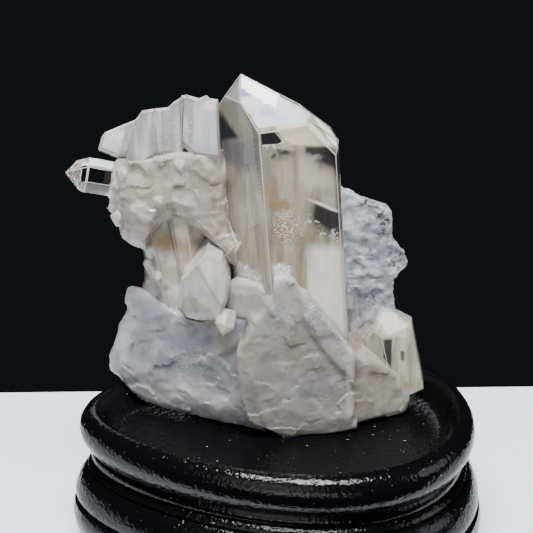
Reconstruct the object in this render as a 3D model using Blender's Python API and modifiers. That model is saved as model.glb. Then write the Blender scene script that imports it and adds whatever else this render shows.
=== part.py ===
"""A cluster of pale quartz crystals that rests in the dished top of a black lacquered wooden stand.

The unit is the metre and +Z is up. The origin is at the middle of the stand's underside. +X runs along
the stand, from its pointed end to its blunt one, and +Y runs away from the cluster's best side.
Sizes in the tables below are millimetres.
"""

import math

import bmesh
import bpy
from mathutils import Matrix, Vector, noise

MM = 0.001

# The stand, an oval with one end narrower than the other
STAND_HALF_LENGTH = 58.7
STAND_HALF_WIDTH = 37.5
STAND_PINCH = 0.25
STAND_STEPS = 48
STAND_CENTRE_Z = 39.0

# The stand's turned outline, from the dish's floor over the lip and down to the table:
# how far each point lies outside the rim's widest line, and its height
STAND_OUTLINE = (
    (-11.0, 39.0),
    (-9.4, 39.6),
    (-7.8, 42.0),
    (-6.2, 45.0),
    (-5.0, 46.0),
    (-3.8, 45.8),
    (-1.8, 44.6),
    (-0.5, 42.6),
    (0.0, 40.0),
    (-0.5, 37.4),
    (-1.6, 35.0),
    (-3.0, 33.0),
    (-4.2, 32.0),
    (-3.4, 31.2),
    (-3.0, 30.0),
    (-3.3, 29.0),
    (-3.9, 28.6),
    (-2.4, 28.0),
    (-1.7, 27.0),
    (-1.9, 26.3),
    (-2.6, 25.8),
    (-0.8, 25.0),
    (1.0, 22.6),
    (2.2, 19.6),
    (2.6, 17.2),
    (2.2, 15.6),
    (1.6, 15.0),
    (3.0, 14.0),
    (3.7, 11.0),
    (3.5, 7.4),
    (2.6, 3.6),
    (1.4, 1.2),
    (0.2, 0.0),
)

# The cluster rests on the dish's floor with a small gap
CLUSTER_FLOOR = 39.3

# Quartz: six sides at 60 degrees, and tip faces whose normals lean this far from the crystal's axis
SIDE_STEP = 60.0
TIP_SLOPE = 51.8

# The tall crystal: where its axis meets the floor, how it leans, and its six unequal sides,
# starting with the front left one, as distances from the axis
MAIN_FOOT = (6.8, 10.0, 39.3)
MAIN_LEAN_LEFT = 4.2
MAIN_LEAN_FRONT = 0.5
MAIN_TURN = -47.7
MAIN_SIDES = (14.6, 15.0, 18.0, 5.9, 5.3, 13.9)
# Its tip: each face's direction round the axis, its slope, and the height at which it crosses the axis
MAIN_TIP = (
    (-44.7, 57.2, 127.0),
    (12.3, 51.8, 116.3),
    (47.0, 66.3, 131.5),
    (72.3, 51.8, 113.6),
    (137.7, 48.1, 98.6),
    (-107.3, 52.8, 118.7),
)

# The smaller crystals: foot, point, width across, flatness and turn about the axis
CRYSTALS = {
    "left_pointer": ((-36.0, 5.0, 115.6), (-60.4, 2.0, 121.4), 9.4, 0.9, 25.0),
    "left_pointer_twin": ((-38.0, 7.0, 113.0), (-49.5, 4.5, 114.4), 6.0, 0.8, 5.0),
    "lower_right": ((37.4, 11.5, 45.6), (30.0, 10.7, 79.4), 14.8, 0.9, -35.0),
    "right_column": ((27.0, 8.0, 50.0), (23.5, 8.0, 90.0), 9.5, 0.9, 10.0),
    "right_column_small": ((24.0, 2.5, 52.0), (22.8, 3.5, 79.0), 5.5, 0.9, -20.0),
    "centre_bud": ((-13.6, -2.0, 88.0), (-15.7, -9.6, 73.4), 6.4, 0.9, 25.0),
    "left_column": ((-31.0, 9.0, 72.0), (-35.6, 3.0, 101.0), 8.5, 0.85, 15.0),
    "left_column_inner": ((-25.5, 8.0, 72.0), (-28.6, 0.0, 108.0), 7.0, 0.9, -15.0),
    "left_needle": ((-33.0, 8.0, 78.0), (-37.6, 5.5, 93.0), 2.8, 0.9, 0.0),
    "left_needle_low": ((-31.0, 8.0, 80.0), (-35.0, 3.5, 90.0), 3.2, 0.9, 20.0),
    "hollow_bud": ((-14.0, 6.0, 104.0), (-11.2, -1.5, 97.0), 4.0, 0.9, 0.0),
    "back_tall": ((2.0, 18.0, 60.0), (-10.0, 24.5, 117.0), 15.0, 0.85, 12.0),
    "back_left": ((-20.0, 18.0, 62.0), (-35.0, 27.0, 100.0), 13.0, 0.9, 40.0),
    "back_right": ((18.0, 18.0, 58.0), (22.0, 27.5, 88.0), 12.0, 0.85, -10.0),
    "back_low": ((-6.0, 18.0, 50.0), (-16.0, 32.5, 72.0), 9.0, 0.9, 5.0),
    "back_stub": ((8.0, 20.0, 50.0), (8.0, 33.0, 64.0), 8.0, 0.9, 30.0),
}

# The massive quartz between the crystals, in blocks whose sides run back and down along one grain.
# Each block: the depth of its outline at X = 0, how much deeper the outline lies for each millimetre
# along X, its roughness, the outline itself as X and Z, and its layers along the grain, as distance
# behind the outline, size beside it, and how far the layer is lifted
GRAIN_SLOPE = 28.0
BLOCKS = {
    "base_front": (
        -7.0,
        0.15,
        0.6,
        (
            (-2.7, 86.1), (-5.5, 83.0), (-8.6, 77.1), (-9.7, 72.3), (-9.5, 64.0), (-8.7, 55.5), (-4.4, 44.6),
            (-4.4, 40.8), (1.7, 39.0), (6.2, 37.9), (8.8, 37.6), (10.6, 38.6), (15.6, 39.4), (23.9, 40.3),
            (23.3, 50.6), (23.0, 59.2), (21.6, 69.5), (16.0, 78.0), (9.6, 85.2), (3.0, 87.0),
        ),
        ((-1.6, 0.78, 0.0), (-0.7, 0.96, 0.0), (0.0, 1.0, 0.0), (13.0, 1.0, 4.0), (26.0, 0.9, 14.0)),
    ),
    "base_left": (
        -6.0,
        -0.38,
        1.0,
        (
            (-33.9, 78.2), (-36.2, 80.4), (-39.2, 81.4), (-42.4, 81.8), (-44.0, 79.9), (-44.8, 75.2),
            (-44.7, 71.5), (-47.0, 67.1), (-47.8, 64.1), (-49.1, 61.4), (-51.3, 56.5), (-51.7, 52.0),
            (-50.8, 49.6), (-48.7, 48.3), (-46.6, 46.3), (-44.9, 43.8), (-42.0, 40.5), (-37.9, 38.7),
            (-29.2, 38.4), (-14.0, 38.4), (-2.7, 38.4), (-5.6, 47.3), (-8.8, 55.2), (-8.8, 68.6),
            (-7.8, 78.0), (-14.9, 77.4), (-27.0, 76.0),
        ),
        ((-3.0, 0.66, 0.5), (-1.6, 0.9, 0.0), (0.0, 1.0, 0.0), (5.0, 0.82, 3.0), (12.0, 0.58, 7.0)),
    ),
    "base_right": (
        -8.0,
        0.35,
        0.8,
        (
            (20.0, 66.6), (27.6, 61.8), (35.7, 55.1), (40.1, 45.7), (40.0, 43.6), (39.2, 39.8), (37.8, 38.2),
            (31.9, 38.2), (27.5, 38.9), (26.0, 38.0), (18.3, 37.8),
        ),
        ((-1.6, 0.82, 0.0), (-0.8, 0.95, 0.0), (0.0, 1.0, 0.0), (9.0, 0.97, 5.0), (17.0, 0.78, 12.0)),
    ),
    "back_slab": (
        14.0,
        0.0,
        0.7,
        (
            (12.2, 113.0), (16.2, 112.6), (18.1, 111.6), (23.5, 108.5), (26.4, 107.2), (29.4, 106.1),
            (31.0, 105.6), (32.3, 104.1), (32.4, 102.0), (33.0, 99.3), (33.3, 96.1), (34.6, 94.2),
            (36.9, 90.5), (38.2, 87.2), (37.5, 84.4), (35.1, 82.7), (35.0, 81.3), (34.0, 80.1), (34.4, 77.6),
            (35.7, 70.1), (36.7, 58.9), (20.0, 52.0), (12.0, 70.0),
        ),
        ((-6.0, 0.86, 0.0), (-4.0, 0.95, 0.0), (0.0, 1.0, 0.0), (5.0, 0.93, 1.0), (10.0, 0.72, 3.0)),
    ),
    "crown_tip": (
        7.0,
        0.0,
        0.0,
        (
            (-43.9, 122.4), (-48.8, 124.7), (-48.3, 126.9), (-47.6, 128.6), (-45.8, 130.5), (-37.8, 133.7),
            (-31.0, 133.3), (-32.0, 123.0),
        ),
        ((-6.0, 0.72, 0.0), (-4.0, 0.97, 0.0), (0.0, 1.0, 0.0), (5.0, 0.9, 0.0), (7.0, 0.6, 0.0)),
    ),
    "crown_left": (
        8.0,
        0.0,
        0.0,
        (
            (-43.8, 121.8), (-41.6, 126.6), (-40.6, 130.4), (-37.7, 133.1), (-35.7, 135.0), (-33.0, 135.8),
            (-29.0, 136.1), (-20.0, 128.0), (-14.2, 121.6), (-26.4, 112.1), (-38.0, 114.0),
        ),
        ((-9.0, 0.7, 0.0), (-7.5, 0.93, 0.0), (0.0, 1.0, 0.0), (6.0, 0.94, 0.0), (12.0, 0.7, 0.0)),
    ),
    "crown_right": (
        8.0,
        0.0,
        0.0,
        (
            (-32.6, 134.6), (-29.0, 136.1), (-25.5, 139.0), (-23.8, 139.3), (-20.7, 138.6), (-18.7, 139.3),
            (-17.4, 138.1), (-15.2, 138.1), (-14.2, 121.6), (-19.0, 118.0), (-27.0, 121.0),
        ),
        ((-11.0, 0.9, 0.0), (-10.0, 0.98, 0.0), (0.0, 1.0, -0.6), (5.0, 0.94, -0.6), (10.0, 0.75, 0.0)),
    ),
    "heart": (
        5.0,
        0.0,
        1.1,
        (
            (-41.5, 124.1), (-45.0, 121.2), (-46.8, 115.6), (-47.3, 111.6), (-46.1, 110.0), (-47.8, 108.5),
            (-47.2, 107.0), (-45.2, 105.1), (-44.2, 101.7), (-44.2, 99.0), (-41.0, 96.7), (-37.1, 93.9),
            (-35.5, 89.1), (-30.9, 78.6), (-12.2, 70.0), (-4.0, 76.0), (-5.0, 95.4), (-8.1, 124.4),
            (-24.0, 128.0),
        ),
        ((-7.0, 0.6, 6.0), (-4.0, 0.84, 3.0), (0.0, 1.0, 0.0), (8.0, 0.97, 2.0), (18.0, 0.75, 8.0)),
    ),
    "centre_stub": (
        -4.0,
        0.0,
        0.0,
        (
            (-26.3, 90.7), (-28.6, 80.1), (-26.4, 76.9), (-23.0, 76.6), (-17.9, 77.9), (-16.1, 79.3),
            (-14.8, 81.8), (-13.8, 90.7), (-14.8, 96.4), (-19.2, 101.3), (-23.6, 96.4),
        ),
        ((-4.5, 0.72, 0.0), (-2.5, 0.95, 0.0), (0.0, 1.0, 0.0), (6.0, 0.98, 2.0), (12.0, 0.9, 6.0)),
    ),
    "back_mass": (
        20.0,
        0.0,
        1.4,
        (
            (-34.0, 58.0), (-36.0, 74.0), (-30.0, 92.0), (-22.0, 104.0), (-8.0, 112.0), (8.0, 106.0),
            (20.0, 92.0), (28.0, 74.0), (29.0, 56.0), (22.0, 42.0), (4.0, 34.0), (-18.0, 36.0), (-29.0, 44.0),
        ),
        ((-14.0, 0.8, -4.0), (-4.0, 0.96, 0.0), (2.0, 0.9, 4.0), (6.0, 0.66, 7.0)),
    ),
}
BLOCK_GRAIN_SIZE = 7.0


def clear_scene():
    for item in list(bpy.data.objects):
        bpy.data.objects.remove(item)


def new_collection(name):
    made = bpy.data.collections.new(name)
    bpy.context.scene.collection.children.link(made)
    return made


def plain_material(name, colour, roughness, transmission=0.0, coat=0.0):
    made = bpy.data.materials.new(name)
    made.use_nodes = True
    shader = made.node_tree.nodes["Principled BSDF"]
    shader.inputs["Base Color"].default_value = (*colour, 1.0)
    shader.inputs["Roughness"].default_value = roughness
    shader.inputs["Metallic"].default_value = 0.0
    shader.inputs["Transmission Weight"].default_value = transmission
    shader.inputs["Coat Weight"].default_value = coat
    return made


def object_from(name, mesh, collection):
    made = bpy.data.objects.new(name, mesh)
    collection.objects.link(made)
    return made


def mesh_from(name, bm):
    """The finished bmesh as a mesh, with its faces turned outwards."""
    bmesh.ops.recalc_face_normals(bm, faces=bm.faces)
    mesh = bpy.data.meshes.new(name)
    bm.to_mesh(mesh)
    bm.free()
    return mesh


# The stand


def turned_blank(name, outline, radius):
    """The outline turned about the Z axis, closed at the top and the bottom by its middle points."""
    top = (0.0, 0.0, STAND_CENTRE_Z * MM)
    points = [top] + [((radius + out) * MM, 0.0, z * MM) for out, z in outline] + [(0.0, 0.0, 0.0)]
    profile = bpy.data.meshes.new(name)
    profile.from_pydata(points, [(i, i + 1) for i in range(len(points) - 1)], [])
    turned = object_from(name, profile, bpy.context.scene.collection)
    screw = turned.modifiers.new("Turn", "SCREW")
    screw.axis = "Z"
    screw.steps = STAND_STEPS
    screw.render_steps = STAND_STEPS
    screw.use_merge_vertices = True
    screw.merge_threshold = 0.00001
    graph = bpy.context.evaluated_depsgraph_get()
    mesh = bpy.data.meshes.new_from_object(turned.evaluated_get(graph))
    bpy.data.objects.remove(turned)
    return mesh


def stretch_to_oval(mesh):
    """Draws the round blank out along X, and narrows the end at -X."""
    stretch = (STAND_HALF_LENGTH - STAND_HALF_WIDTH) * MM
    for vertex in mesh.vertices:
        radius = math.hypot(vertex.co.x, vertex.co.y)
        if radius < MM:
            continue
        along = vertex.co.x / radius
        vertex.co.x = along * (radius + stretch)
        vertex.co.y *= 1.0 + STAND_PINCH * along


def make_stand(collection):
    mesh = turned_blank("display_stand", STAND_OUTLINE, STAND_HALF_WIDTH)
    stretch_to_oval(mesh)
    mesh.shade_smooth()
    mesh.set_sharp_from_angle(angle=math.radians(50.0))
    mesh.materials.clear()
    mesh.materials.append(plain_material("black_lacquer", (0.012, 0.011, 0.011), 0.16, coat=1.0))
    return object_from("display_stand", mesh, collection)


# The crystals


def crystal_axes(axis):
    """The axis with the directions to its right and its front, for someone who looks along +Y."""
    along = axis.normalized()
    right = Vector((0.0, 1.0, 0.0)).cross(along).normalized()
    return along, right, right.cross(along)


def face_direction(axes, turn, slope):
    """The outward direction of a face: its turn from the front, and its slope from the axis."""
    along, right, front = axes
    around = right * math.sin(math.radians(turn)) + front * math.cos(math.radians(turn))
    return along * math.cos(math.radians(slope)) + around * math.sin(math.radians(slope))


def cut_away(bm, point, direction):
    """Cuts off what lies beyond the plane, and closes the cut."""
    everything = bm.verts[:] + bm.edges[:] + bm.faces[:]
    bmesh.ops.bisect_plane(bm, geom=everything, plane_co=point, plane_no=direction, clear_outer=True)
    bmesh.ops.holes_fill(bm, edges=[edge for edge in bm.edges if edge.is_boundary], sides=0)


def cut_crystal(name, foot, axes, turn, sides, tip_faces, length):
    """A prism with six sides and a faceted tip, cut out of a block one face at a time."""
    along, right, front = axes
    bm = bmesh.new()
    bmesh.ops.create_cube(bm, size=3.0 * length)
    turned = Matrix((right, -front, along)).transposed().to_4x4()
    bmesh.ops.transform(bm, matrix=Matrix.Translation(foot + along * 1.5 * length) @ turned, verts=bm.verts)
    for number, distance in enumerate(sides):
        outwards = face_direction(axes, turn + SIDE_STEP * number, 90.0)
        cut_away(bm, foot + outwards * distance, outwards)
    for direction, slope, height in tip_faces:
        cut_away(bm, foot + along * height, face_direction(axes, direction, slope))
    return mesh_from(name, bm)


def make_main_crystal():
    lean_left = math.tan(math.radians(MAIN_LEAN_LEFT))
    lean_front = math.tan(math.radians(MAIN_LEAN_FRONT))
    axes = crystal_axes(Vector((-lean_left, -lean_front, 1.0)))
    tip_faces = [(direction, slope, height * MM) for direction, slope, height in MAIN_TIP]
    sides = [distance * MM for distance in MAIN_SIDES]
    length = max(height for _, _, height in tip_faces)
    return cut_crystal("main", Vector(MAIN_FOOT) * MM, axes, MAIN_TURN, sides, tip_faces, length)


def make_small_crystal(name, foot, point, across, flatness, turn):
    """A crystal between two points. Its sides and tip faces differ a little, by a rule."""
    foot = Vector(foot) * MM
    axis = Vector(point) * MM - foot
    axes = crystal_axes(axis)
    half = 0.5 * across * MM
    sides = []
    tip_faces = []
    for number in range(6):
        squeeze = flatness if number % 3 else 1.0
        sides.append(half * squeeze * (1.0 + 0.08 * math.sin(2.3 * number + turn)))
        drop = 0.35 * half * (number % 2) + 0.25 * half * (1.0 + math.cos(1.7 * number + turn))
        tip_faces.append((turn + SIDE_STEP * number, TIP_SLOPE, axis.length - drop))
    return cut_crystal(name, foot, axes, turn, sides, tip_faces, axis.length)


# The massive quartz


def roughen(bm, amount, size):
    """Splits every face once and moves the points in and out by a smooth noise."""
    bmesh.ops.triangulate(bm, faces=bm.faces)
    bmesh.ops.subdivide_edges(bm, edges=bm.edges, cuts=1, use_grid_fill=True)
    bmesh.ops.recalc_face_normals(bm, faces=bm.faces)
    bm.normal_update()
    moves = [vertex.normal * amount * noise.noise(vertex.co / size) for vertex in bm.verts]
    for vertex, move in zip(bm.verts, moves):
        vertex.co += move


def make_block(name, depth, slant, roughness, outline, layers):
    """The outline drawn out in layers along the grain, then roughened."""
    grain = Vector((0.0, math.cos(math.radians(GRAIN_SLOPE)), -math.sin(math.radians(GRAIN_SLOPE))))
    points = [Vector((x, depth + slant * x, z)) for x, z in outline]
    middle = sum(points, Vector()) / len(points)

    def layer_points(behind, size, lift):
        centre = middle + grain * behind + Vector((0.0, 0.0, lift))
        return [(centre + (point - middle) * size) * MM for point in points]

    bm = bmesh.new()
    front = bm.faces.new([bm.verts.new(point) for point in layer_points(*layers[0])])
    face = front
    for layer in layers[1:]:
        drawn = bmesh.ops.extrude_face_region(bm, geom=[face])
        if face is not front:
            bm.faces.remove(face)
        face = next(item for item in drawn["geom"] if isinstance(item, bmesh.types.BMFace))
        for vertex, place in zip(face.verts, layer_points(*layer)):
            vertex.co = place
    if roughness > 0.0:
        roughen(bm, roughness * MM, BLOCK_GRAIN_SIZE * MM)
    return mesh_from(name, bm)


def make_floor_cutter(collection):
    """Everything below the cluster's floor."""
    size = 200.0 * MM
    bm = bmesh.new()
    bmesh.ops.create_cube(bm, size=size)
    bmesh.ops.translate(bm, vec=(0.0, 0.0, CLUSTER_FLOOR * MM - 0.5 * size), verts=bm.verts)
    return object_from("floor_cutter", mesh_from("floor_cutter", bm), collection)


def as_helper(item):
    item.hide_render = True
    item.display_type = "WIRE"


def make_cluster(collection, helpers, growths):
    """All crystals and blocks joined in one stone, cut flat where it rests."""
    for name, block in BLOCKS.items():
        as_helper(object_from(name, make_block(name, *block), growths))
    for name, crystal in CRYSTALS.items():
        as_helper(object_from(name, make_small_crystal(name, *crystal), growths))
    cluster = object_from("quartz_cluster", make_main_crystal(), collection)
    cluster.data.materials.append(plain_material("quartz", (0.78, 0.75, 0.70), 0.12, transmission=0.6))
    join = cluster.modifiers.new("Join growths", "BOOLEAN")
    join.operation = "UNION"
    join.operand_type = "COLLECTION"
    join.collection = growths
    join.solver = "EXACT"
    cutter = make_floor_cutter(helpers)
    as_helper(cutter)
    rest = cluster.modifiers.new("Cut at the dish's floor", "BOOLEAN")
    rest.operation = "DIFFERENCE"
    rest.object = cutter
    rest.solver = "EXACT"
    return cluster


def main():
    clear_scene()
    parts = new_collection("lemurian_quartz_cluster")
    helpers = new_collection("cutters")
    growths = new_collection("growths")
    make_stand(parts)
    make_cluster(parts, helpers, growths)


main()
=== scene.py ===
# %% [markdown]
# # A quartz cluster on a black lacquered stand
# The real object is a hand-sized cluster of pale quartz. One tall crystal with a clear tip stands in the
# middle, milky masses hold it at the foot, and smaller crystals point to the sides and downwards.
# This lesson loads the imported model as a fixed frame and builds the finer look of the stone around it,
# one piece and one finish at a time.

import math

import bmesh
import bpy
import numpy as np
from mathutils import Matrix, Vector, kdtree


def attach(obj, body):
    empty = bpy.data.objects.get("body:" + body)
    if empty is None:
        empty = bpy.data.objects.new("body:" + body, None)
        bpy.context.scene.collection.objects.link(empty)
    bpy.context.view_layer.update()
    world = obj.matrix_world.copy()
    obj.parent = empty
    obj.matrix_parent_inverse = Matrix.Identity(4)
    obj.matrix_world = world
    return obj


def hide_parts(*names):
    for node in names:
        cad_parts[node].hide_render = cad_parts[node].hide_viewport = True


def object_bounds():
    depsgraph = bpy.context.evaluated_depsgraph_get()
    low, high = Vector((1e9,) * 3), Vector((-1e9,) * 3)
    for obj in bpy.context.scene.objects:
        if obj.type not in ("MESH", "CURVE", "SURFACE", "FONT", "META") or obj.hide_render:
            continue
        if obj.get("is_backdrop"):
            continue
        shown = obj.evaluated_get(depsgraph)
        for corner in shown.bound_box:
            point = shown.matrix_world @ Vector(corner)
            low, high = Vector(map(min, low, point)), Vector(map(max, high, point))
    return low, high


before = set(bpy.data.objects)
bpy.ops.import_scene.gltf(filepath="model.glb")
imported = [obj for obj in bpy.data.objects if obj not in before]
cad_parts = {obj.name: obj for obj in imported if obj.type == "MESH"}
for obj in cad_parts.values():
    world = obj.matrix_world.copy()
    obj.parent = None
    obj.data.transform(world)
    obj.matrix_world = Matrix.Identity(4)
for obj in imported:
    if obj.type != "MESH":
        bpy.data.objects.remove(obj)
cad_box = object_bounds()
MM = 0.001
print("nodes:", ", ".join(sorted(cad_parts)))
print("size in millimetres:", [round((high - low) / MM, 1) for low, high in zip(*cad_box)])

# %% [markdown]
# ## The camera
# The photograph looks down on the cluster at 28 degrees with a long lens, so upright edges stay almost
# parallel. A real photographer steps back and zooms in, and the same is done here: the lens is long and
# the camera is some 38 centimetres from the stone.

# %% Camera
VIEW_DOWN = math.radians(28.0)
CAMERA_PLACE = Vector((-3.1, -338.4, 272.7)) * MM
bpy.ops.object.camera_add(location=CAMERA_PLACE, rotation=(math.radians(90.0) - VIEW_DOWN, 0.0, 0.0))
camera = bpy.context.object
camera.name = "camera"
camera.data.sensor_width = 36.0
camera.data.lens = 92.6
camera.data.clip_start = 0.01
bpy.context.scene.camera = camera
print("camera at", [round(value, 3) for value in camera.location])

# %% [markdown]
# ## Table, room and light
# The stand is on a pale table whose far edge shows behind it, and the room behind is black. The table is
# a real slab with a rounded edge, not an endless plane, because the dark room has to show above it.
# Two large soft lights do what a window and a pale ceiling do: one over the stone and one at the front.

# %% Small helpers for working as by hand


def select_nothing():
    if bpy.context.mode != "OBJECT":
        bpy.ops.object.mode_set(mode="OBJECT")
    bpy.ops.object.select_all(action="DESELECT")


def take(piece):
    """Makes the piece the only selected one, and the active one."""
    select_nothing()
    piece.select_set(True)
    bpy.context.view_layer.objects.active = piece


def settle(piece):
    """Applies the piece's place to its mesh, so that its object sits at the origin."""
    take(piece)
    bpy.ops.object.transform_apply(location=True, rotation=True, scale=True)


def apply_modifiers(piece):
    take(piece)
    for modifier in list(piece.modifiers):
        bpy.ops.object.modifier_apply(modifier=modifier.name)


# %% Table
TABLE_DEPTH = 0.135
TABLE_BACK_EDGE = 0.0805
TABLE_THICK = 0.03
select_nothing()
bpy.ops.mesh.primitive_cube_add(
    size=1.0, location=(0.0, TABLE_BACK_EDGE - 0.5 * TABLE_DEPTH, -0.5 * TABLE_THICK)
)
table = bpy.context.object
table.name = "table"
table.scale = (1.6, TABLE_DEPTH, TABLE_THICK)
table.rotation_euler.z = math.radians(1.2)
settle(table)
bpy.ops.object.mode_set(mode="EDIT")
bpy.ops.mesh.select_all(action="SELECT")
bpy.ops.mesh.bevel(offset=0.0015, segments=3, affect="EDGES")
bpy.ops.object.mode_set(mode="OBJECT")
table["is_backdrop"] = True
print("table from", round(TABLE_BACK_EDGE - TABLE_DEPTH, 3), "to", TABLE_BACK_EDGE)

# %% Lights and the dark room


def soft_light(name, place, target, size, watts, colour=(1.0, 1.0, 1.0)):
    """A large square light that faces the target."""
    place = Vector(place)
    turn = (Vector(target) - place).to_track_quat("-Z", "Y").to_euler()
    bpy.ops.object.light_add(type="AREA", location=place, rotation=turn)
    light = bpy.context.object
    light.name = name
    light.data.shape = "RECTANGLE"
    light.data.size = size[0]
    light.data.size_y = size[1]
    light.data.energy = watts
    light.data.color = colour
    return light


STONE_MIDDLE = (0.0, 0.0, 0.09)
soft_light("light_over", (-0.02, -0.16, 0.58), STONE_MIDDLE, (0.28, 0.13), 4.9)
soft_light("light_front", (-0.25, -0.75, 0.55), STONE_MIDDLE, (0.5, 0.5), 1.2)
soft_light("light_right", (0.6, -0.15, 0.35), STONE_MIDDLE, (0.35, 0.35), 1.0, (0.94, 0.97, 1.0))
soft_light("light_back", (-0.2, 0.5, 0.45), STONE_MIDDLE, (0.4, 0.3), 1.0, (0.93, 0.96, 1.0))
soft_light("light_low", (-0.12, -0.7, 0.1), STONE_MIDDLE, (0.5, 0.16), 0.9)
room = bpy.data.worlds.new("dark room")
bpy.context.scene.world = room
room.use_nodes = True
room.node_tree.nodes["Background"].inputs["Color"].default_value = (0.007, 0.0085, 0.0095, 1.0)

# %% [markdown]
# ## Groups that the finishes share
# Quartz is never one flat tone. Clouds of tiny bubbles make it milky, iron stains it brown in places, and
# its surface has growth steps and small chips. Each of these effects is one node group with named inputs,
# and each finish places it with its own values.

# %% Group: clouds and relief


def new_group(name, inputs, outputs):
    group = bpy.data.node_groups.new(name, "ShaderNodeTree")
    kinds = {"float": "NodeSocketFloat", "vector": "NodeSocketVector", "colour": "NodeSocketColor"}
    for label, kind, value in inputs:
        socket = group.interface.new_socket(name=label, in_out="INPUT", socket_type=kinds[kind])
        if value is not None:
            socket.default_value = value
    for label, kind in outputs:
        group.interface.new_socket(name=label, in_out="OUTPUT", socket_type=kinds[kind])
    start = group.nodes.new("NodeGroupInput")
    end = group.nodes.new("NodeGroupOutput")
    return group, start, end


def node(tree, kind, settings=None, values=None):
    """Adds a node, with settings as its properties and values as its sockets or the links into them."""
    made = tree.nodes.new(kind)
    for label, value in (settings or {}).items():
        setattr(made, label, value)
    for label, value in (values or {}).items():
        if isinstance(value, bpy.types.NodeSocket):
            tree.links.new(value, made.inputs[label])
        else:
            made.inputs[label].default_value = value
    return made


# A soft cloud: noise between two limits, so that the mask is 0 below Low and 1 above High
cloud_group, start, end = new_group(
    "cloud",
    [
        ("Vector", "vector", None),
        ("Size", "float", 0.01),
        ("Low", "float", 0.45),
        ("High", "float", 0.6),
        ("Detail", "float", 4.0),
        ("Wobble", "float", 0.5),
    ],
    [("Mask", "float")],
)
scale = node(cloud_group, "ShaderNodeMath", {"operation": "DIVIDE"}, {0: 1.0, 1: start.outputs["Size"]})
cloud_noise = node(
    cloud_group,
    "ShaderNodeTexNoise",
    None,
    {
        "Vector": start.outputs["Vector"],
        "Scale": scale.outputs[0],
        "Detail": start.outputs["Detail"],
        "Distortion": start.outputs["Wobble"],
    },
)
cloud_limits = node(
    cloud_group,
    "ShaderNodeMapRange",
    {"interpolation_type": "SMOOTHSTEP"},
    {
        "Value": cloud_noise.outputs["Fac"],
        "From Min": start.outputs["Low"],
        "From Max": start.outputs["High"],
    },
)
cloud_group.links.new(cloud_limits.outputs["Result"], end.inputs["Mask"])

# %% Group: a patch at a place
# A rounded patch with a wobbling edge: 1 in its middle and 0 outside its size
patch_group, start, end = new_group(
    "patch",
    [
        ("Vector", "vector", None),
        ("Centre", "vector", (0.0, 0.0, 0.0)),
        ("Size", "vector", (0.01, 0.01, 0.01)),
        ("Edge", "float", 0.5),
        ("Wobble", "float", 0.002),
    ],
    [("Mask", "float")],
)
wobble_noise = node(
    patch_group,
    "ShaderNodeTexNoise",
    None,
    {"Vector": start.outputs["Vector"], "Scale": 420.0, "Detail": 3.0},
)
centred_noise = node(
    patch_group,
    "ShaderNodeVectorMath",
    {"operation": "SUBTRACT"},
    {0: wobble_noise.outputs["Color"], 1: (0.5, 0.5, 0.5)},
)
wobble = node(
    patch_group,
    "ShaderNodeVectorMath",
    {"operation": "SCALE"},
    {0: centred_noise.outputs[0], "Scale": start.outputs["Wobble"]},
)
moved = node(
    patch_group,
    "ShaderNodeVectorMath",
    {"operation": "ADD"},
    {0: start.outputs["Vector"], 1: wobble.outputs[0]},
)
away = node(
    patch_group,
    "ShaderNodeVectorMath",
    {"operation": "SUBTRACT"},
    {0: moved.outputs[0], 1: start.outputs["Centre"]},
)
share = node(
    patch_group,
    "ShaderNodeVectorMath",
    {"operation": "DIVIDE"},
    {0: away.outputs[0], 1: start.outputs["Size"]},
)
reach = node(patch_group, "ShaderNodeVectorMath", {"operation": "LENGTH"}, {0: share.outputs[0]})
inner = node(
    patch_group, "ShaderNodeMath", {"operation": "SUBTRACT"}, {0: 1.0, 1: start.outputs["Edge"]}
)
patch_limits = node(
    patch_group,
    "ShaderNodeMapRange",
    {"interpolation_type": "SMOOTHSTEP"},
    {
        "Value": reach.outputs["Value"],
        "From Min": inner.outputs[0],
        "From Max": 1.0,
        "To Min": 1.0,
        "To Max": 0.0,
    },
)
patch_group.links.new(patch_limits.outputs["Result"], end.inputs["Mask"])

# %% Group: a straight edge
# 1 on the side that the direction points to, and 0 on the other, with a soft line between
edge_group, start, end = new_group(
    "straight_edge",
    [
        ("Vector", "vector", None),
        ("Point", "vector", (0.0, 0.0, 0.0)),
        ("Direction", "vector", (1.0, 0.0, 0.0)),
        ("Softness", "float", 0.0005),
    ],
    [("Mask", "float")],
)
from_edge = node(
    edge_group,
    "ShaderNodeVectorMath",
    {"operation": "SUBTRACT"},
    {0: start.outputs["Vector"], 1: start.outputs["Point"]},
)
past_edge = node(
    edge_group,
    "ShaderNodeVectorMath",
    {"operation": "DOT_PRODUCT"},
    {0: from_edge.outputs[0], 1: start.outputs["Direction"]},
)
other_side = node(
    edge_group, "ShaderNodeMath", {"operation": "MULTIPLY"}, {0: start.outputs["Softness"], 1: -1.0}
)
edge_limits = node(
    edge_group,
    "ShaderNodeMapRange",
    {"interpolation_type": "SMOOTHSTEP"},
    {
        "Value": past_edge.outputs["Value"],
        "From Min": other_side.outputs[0],
        "From Max": start.outputs["Softness"],
    },
)
edge_group.links.new(edge_limits.outputs["Result"], end.inputs["Mask"])

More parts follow.
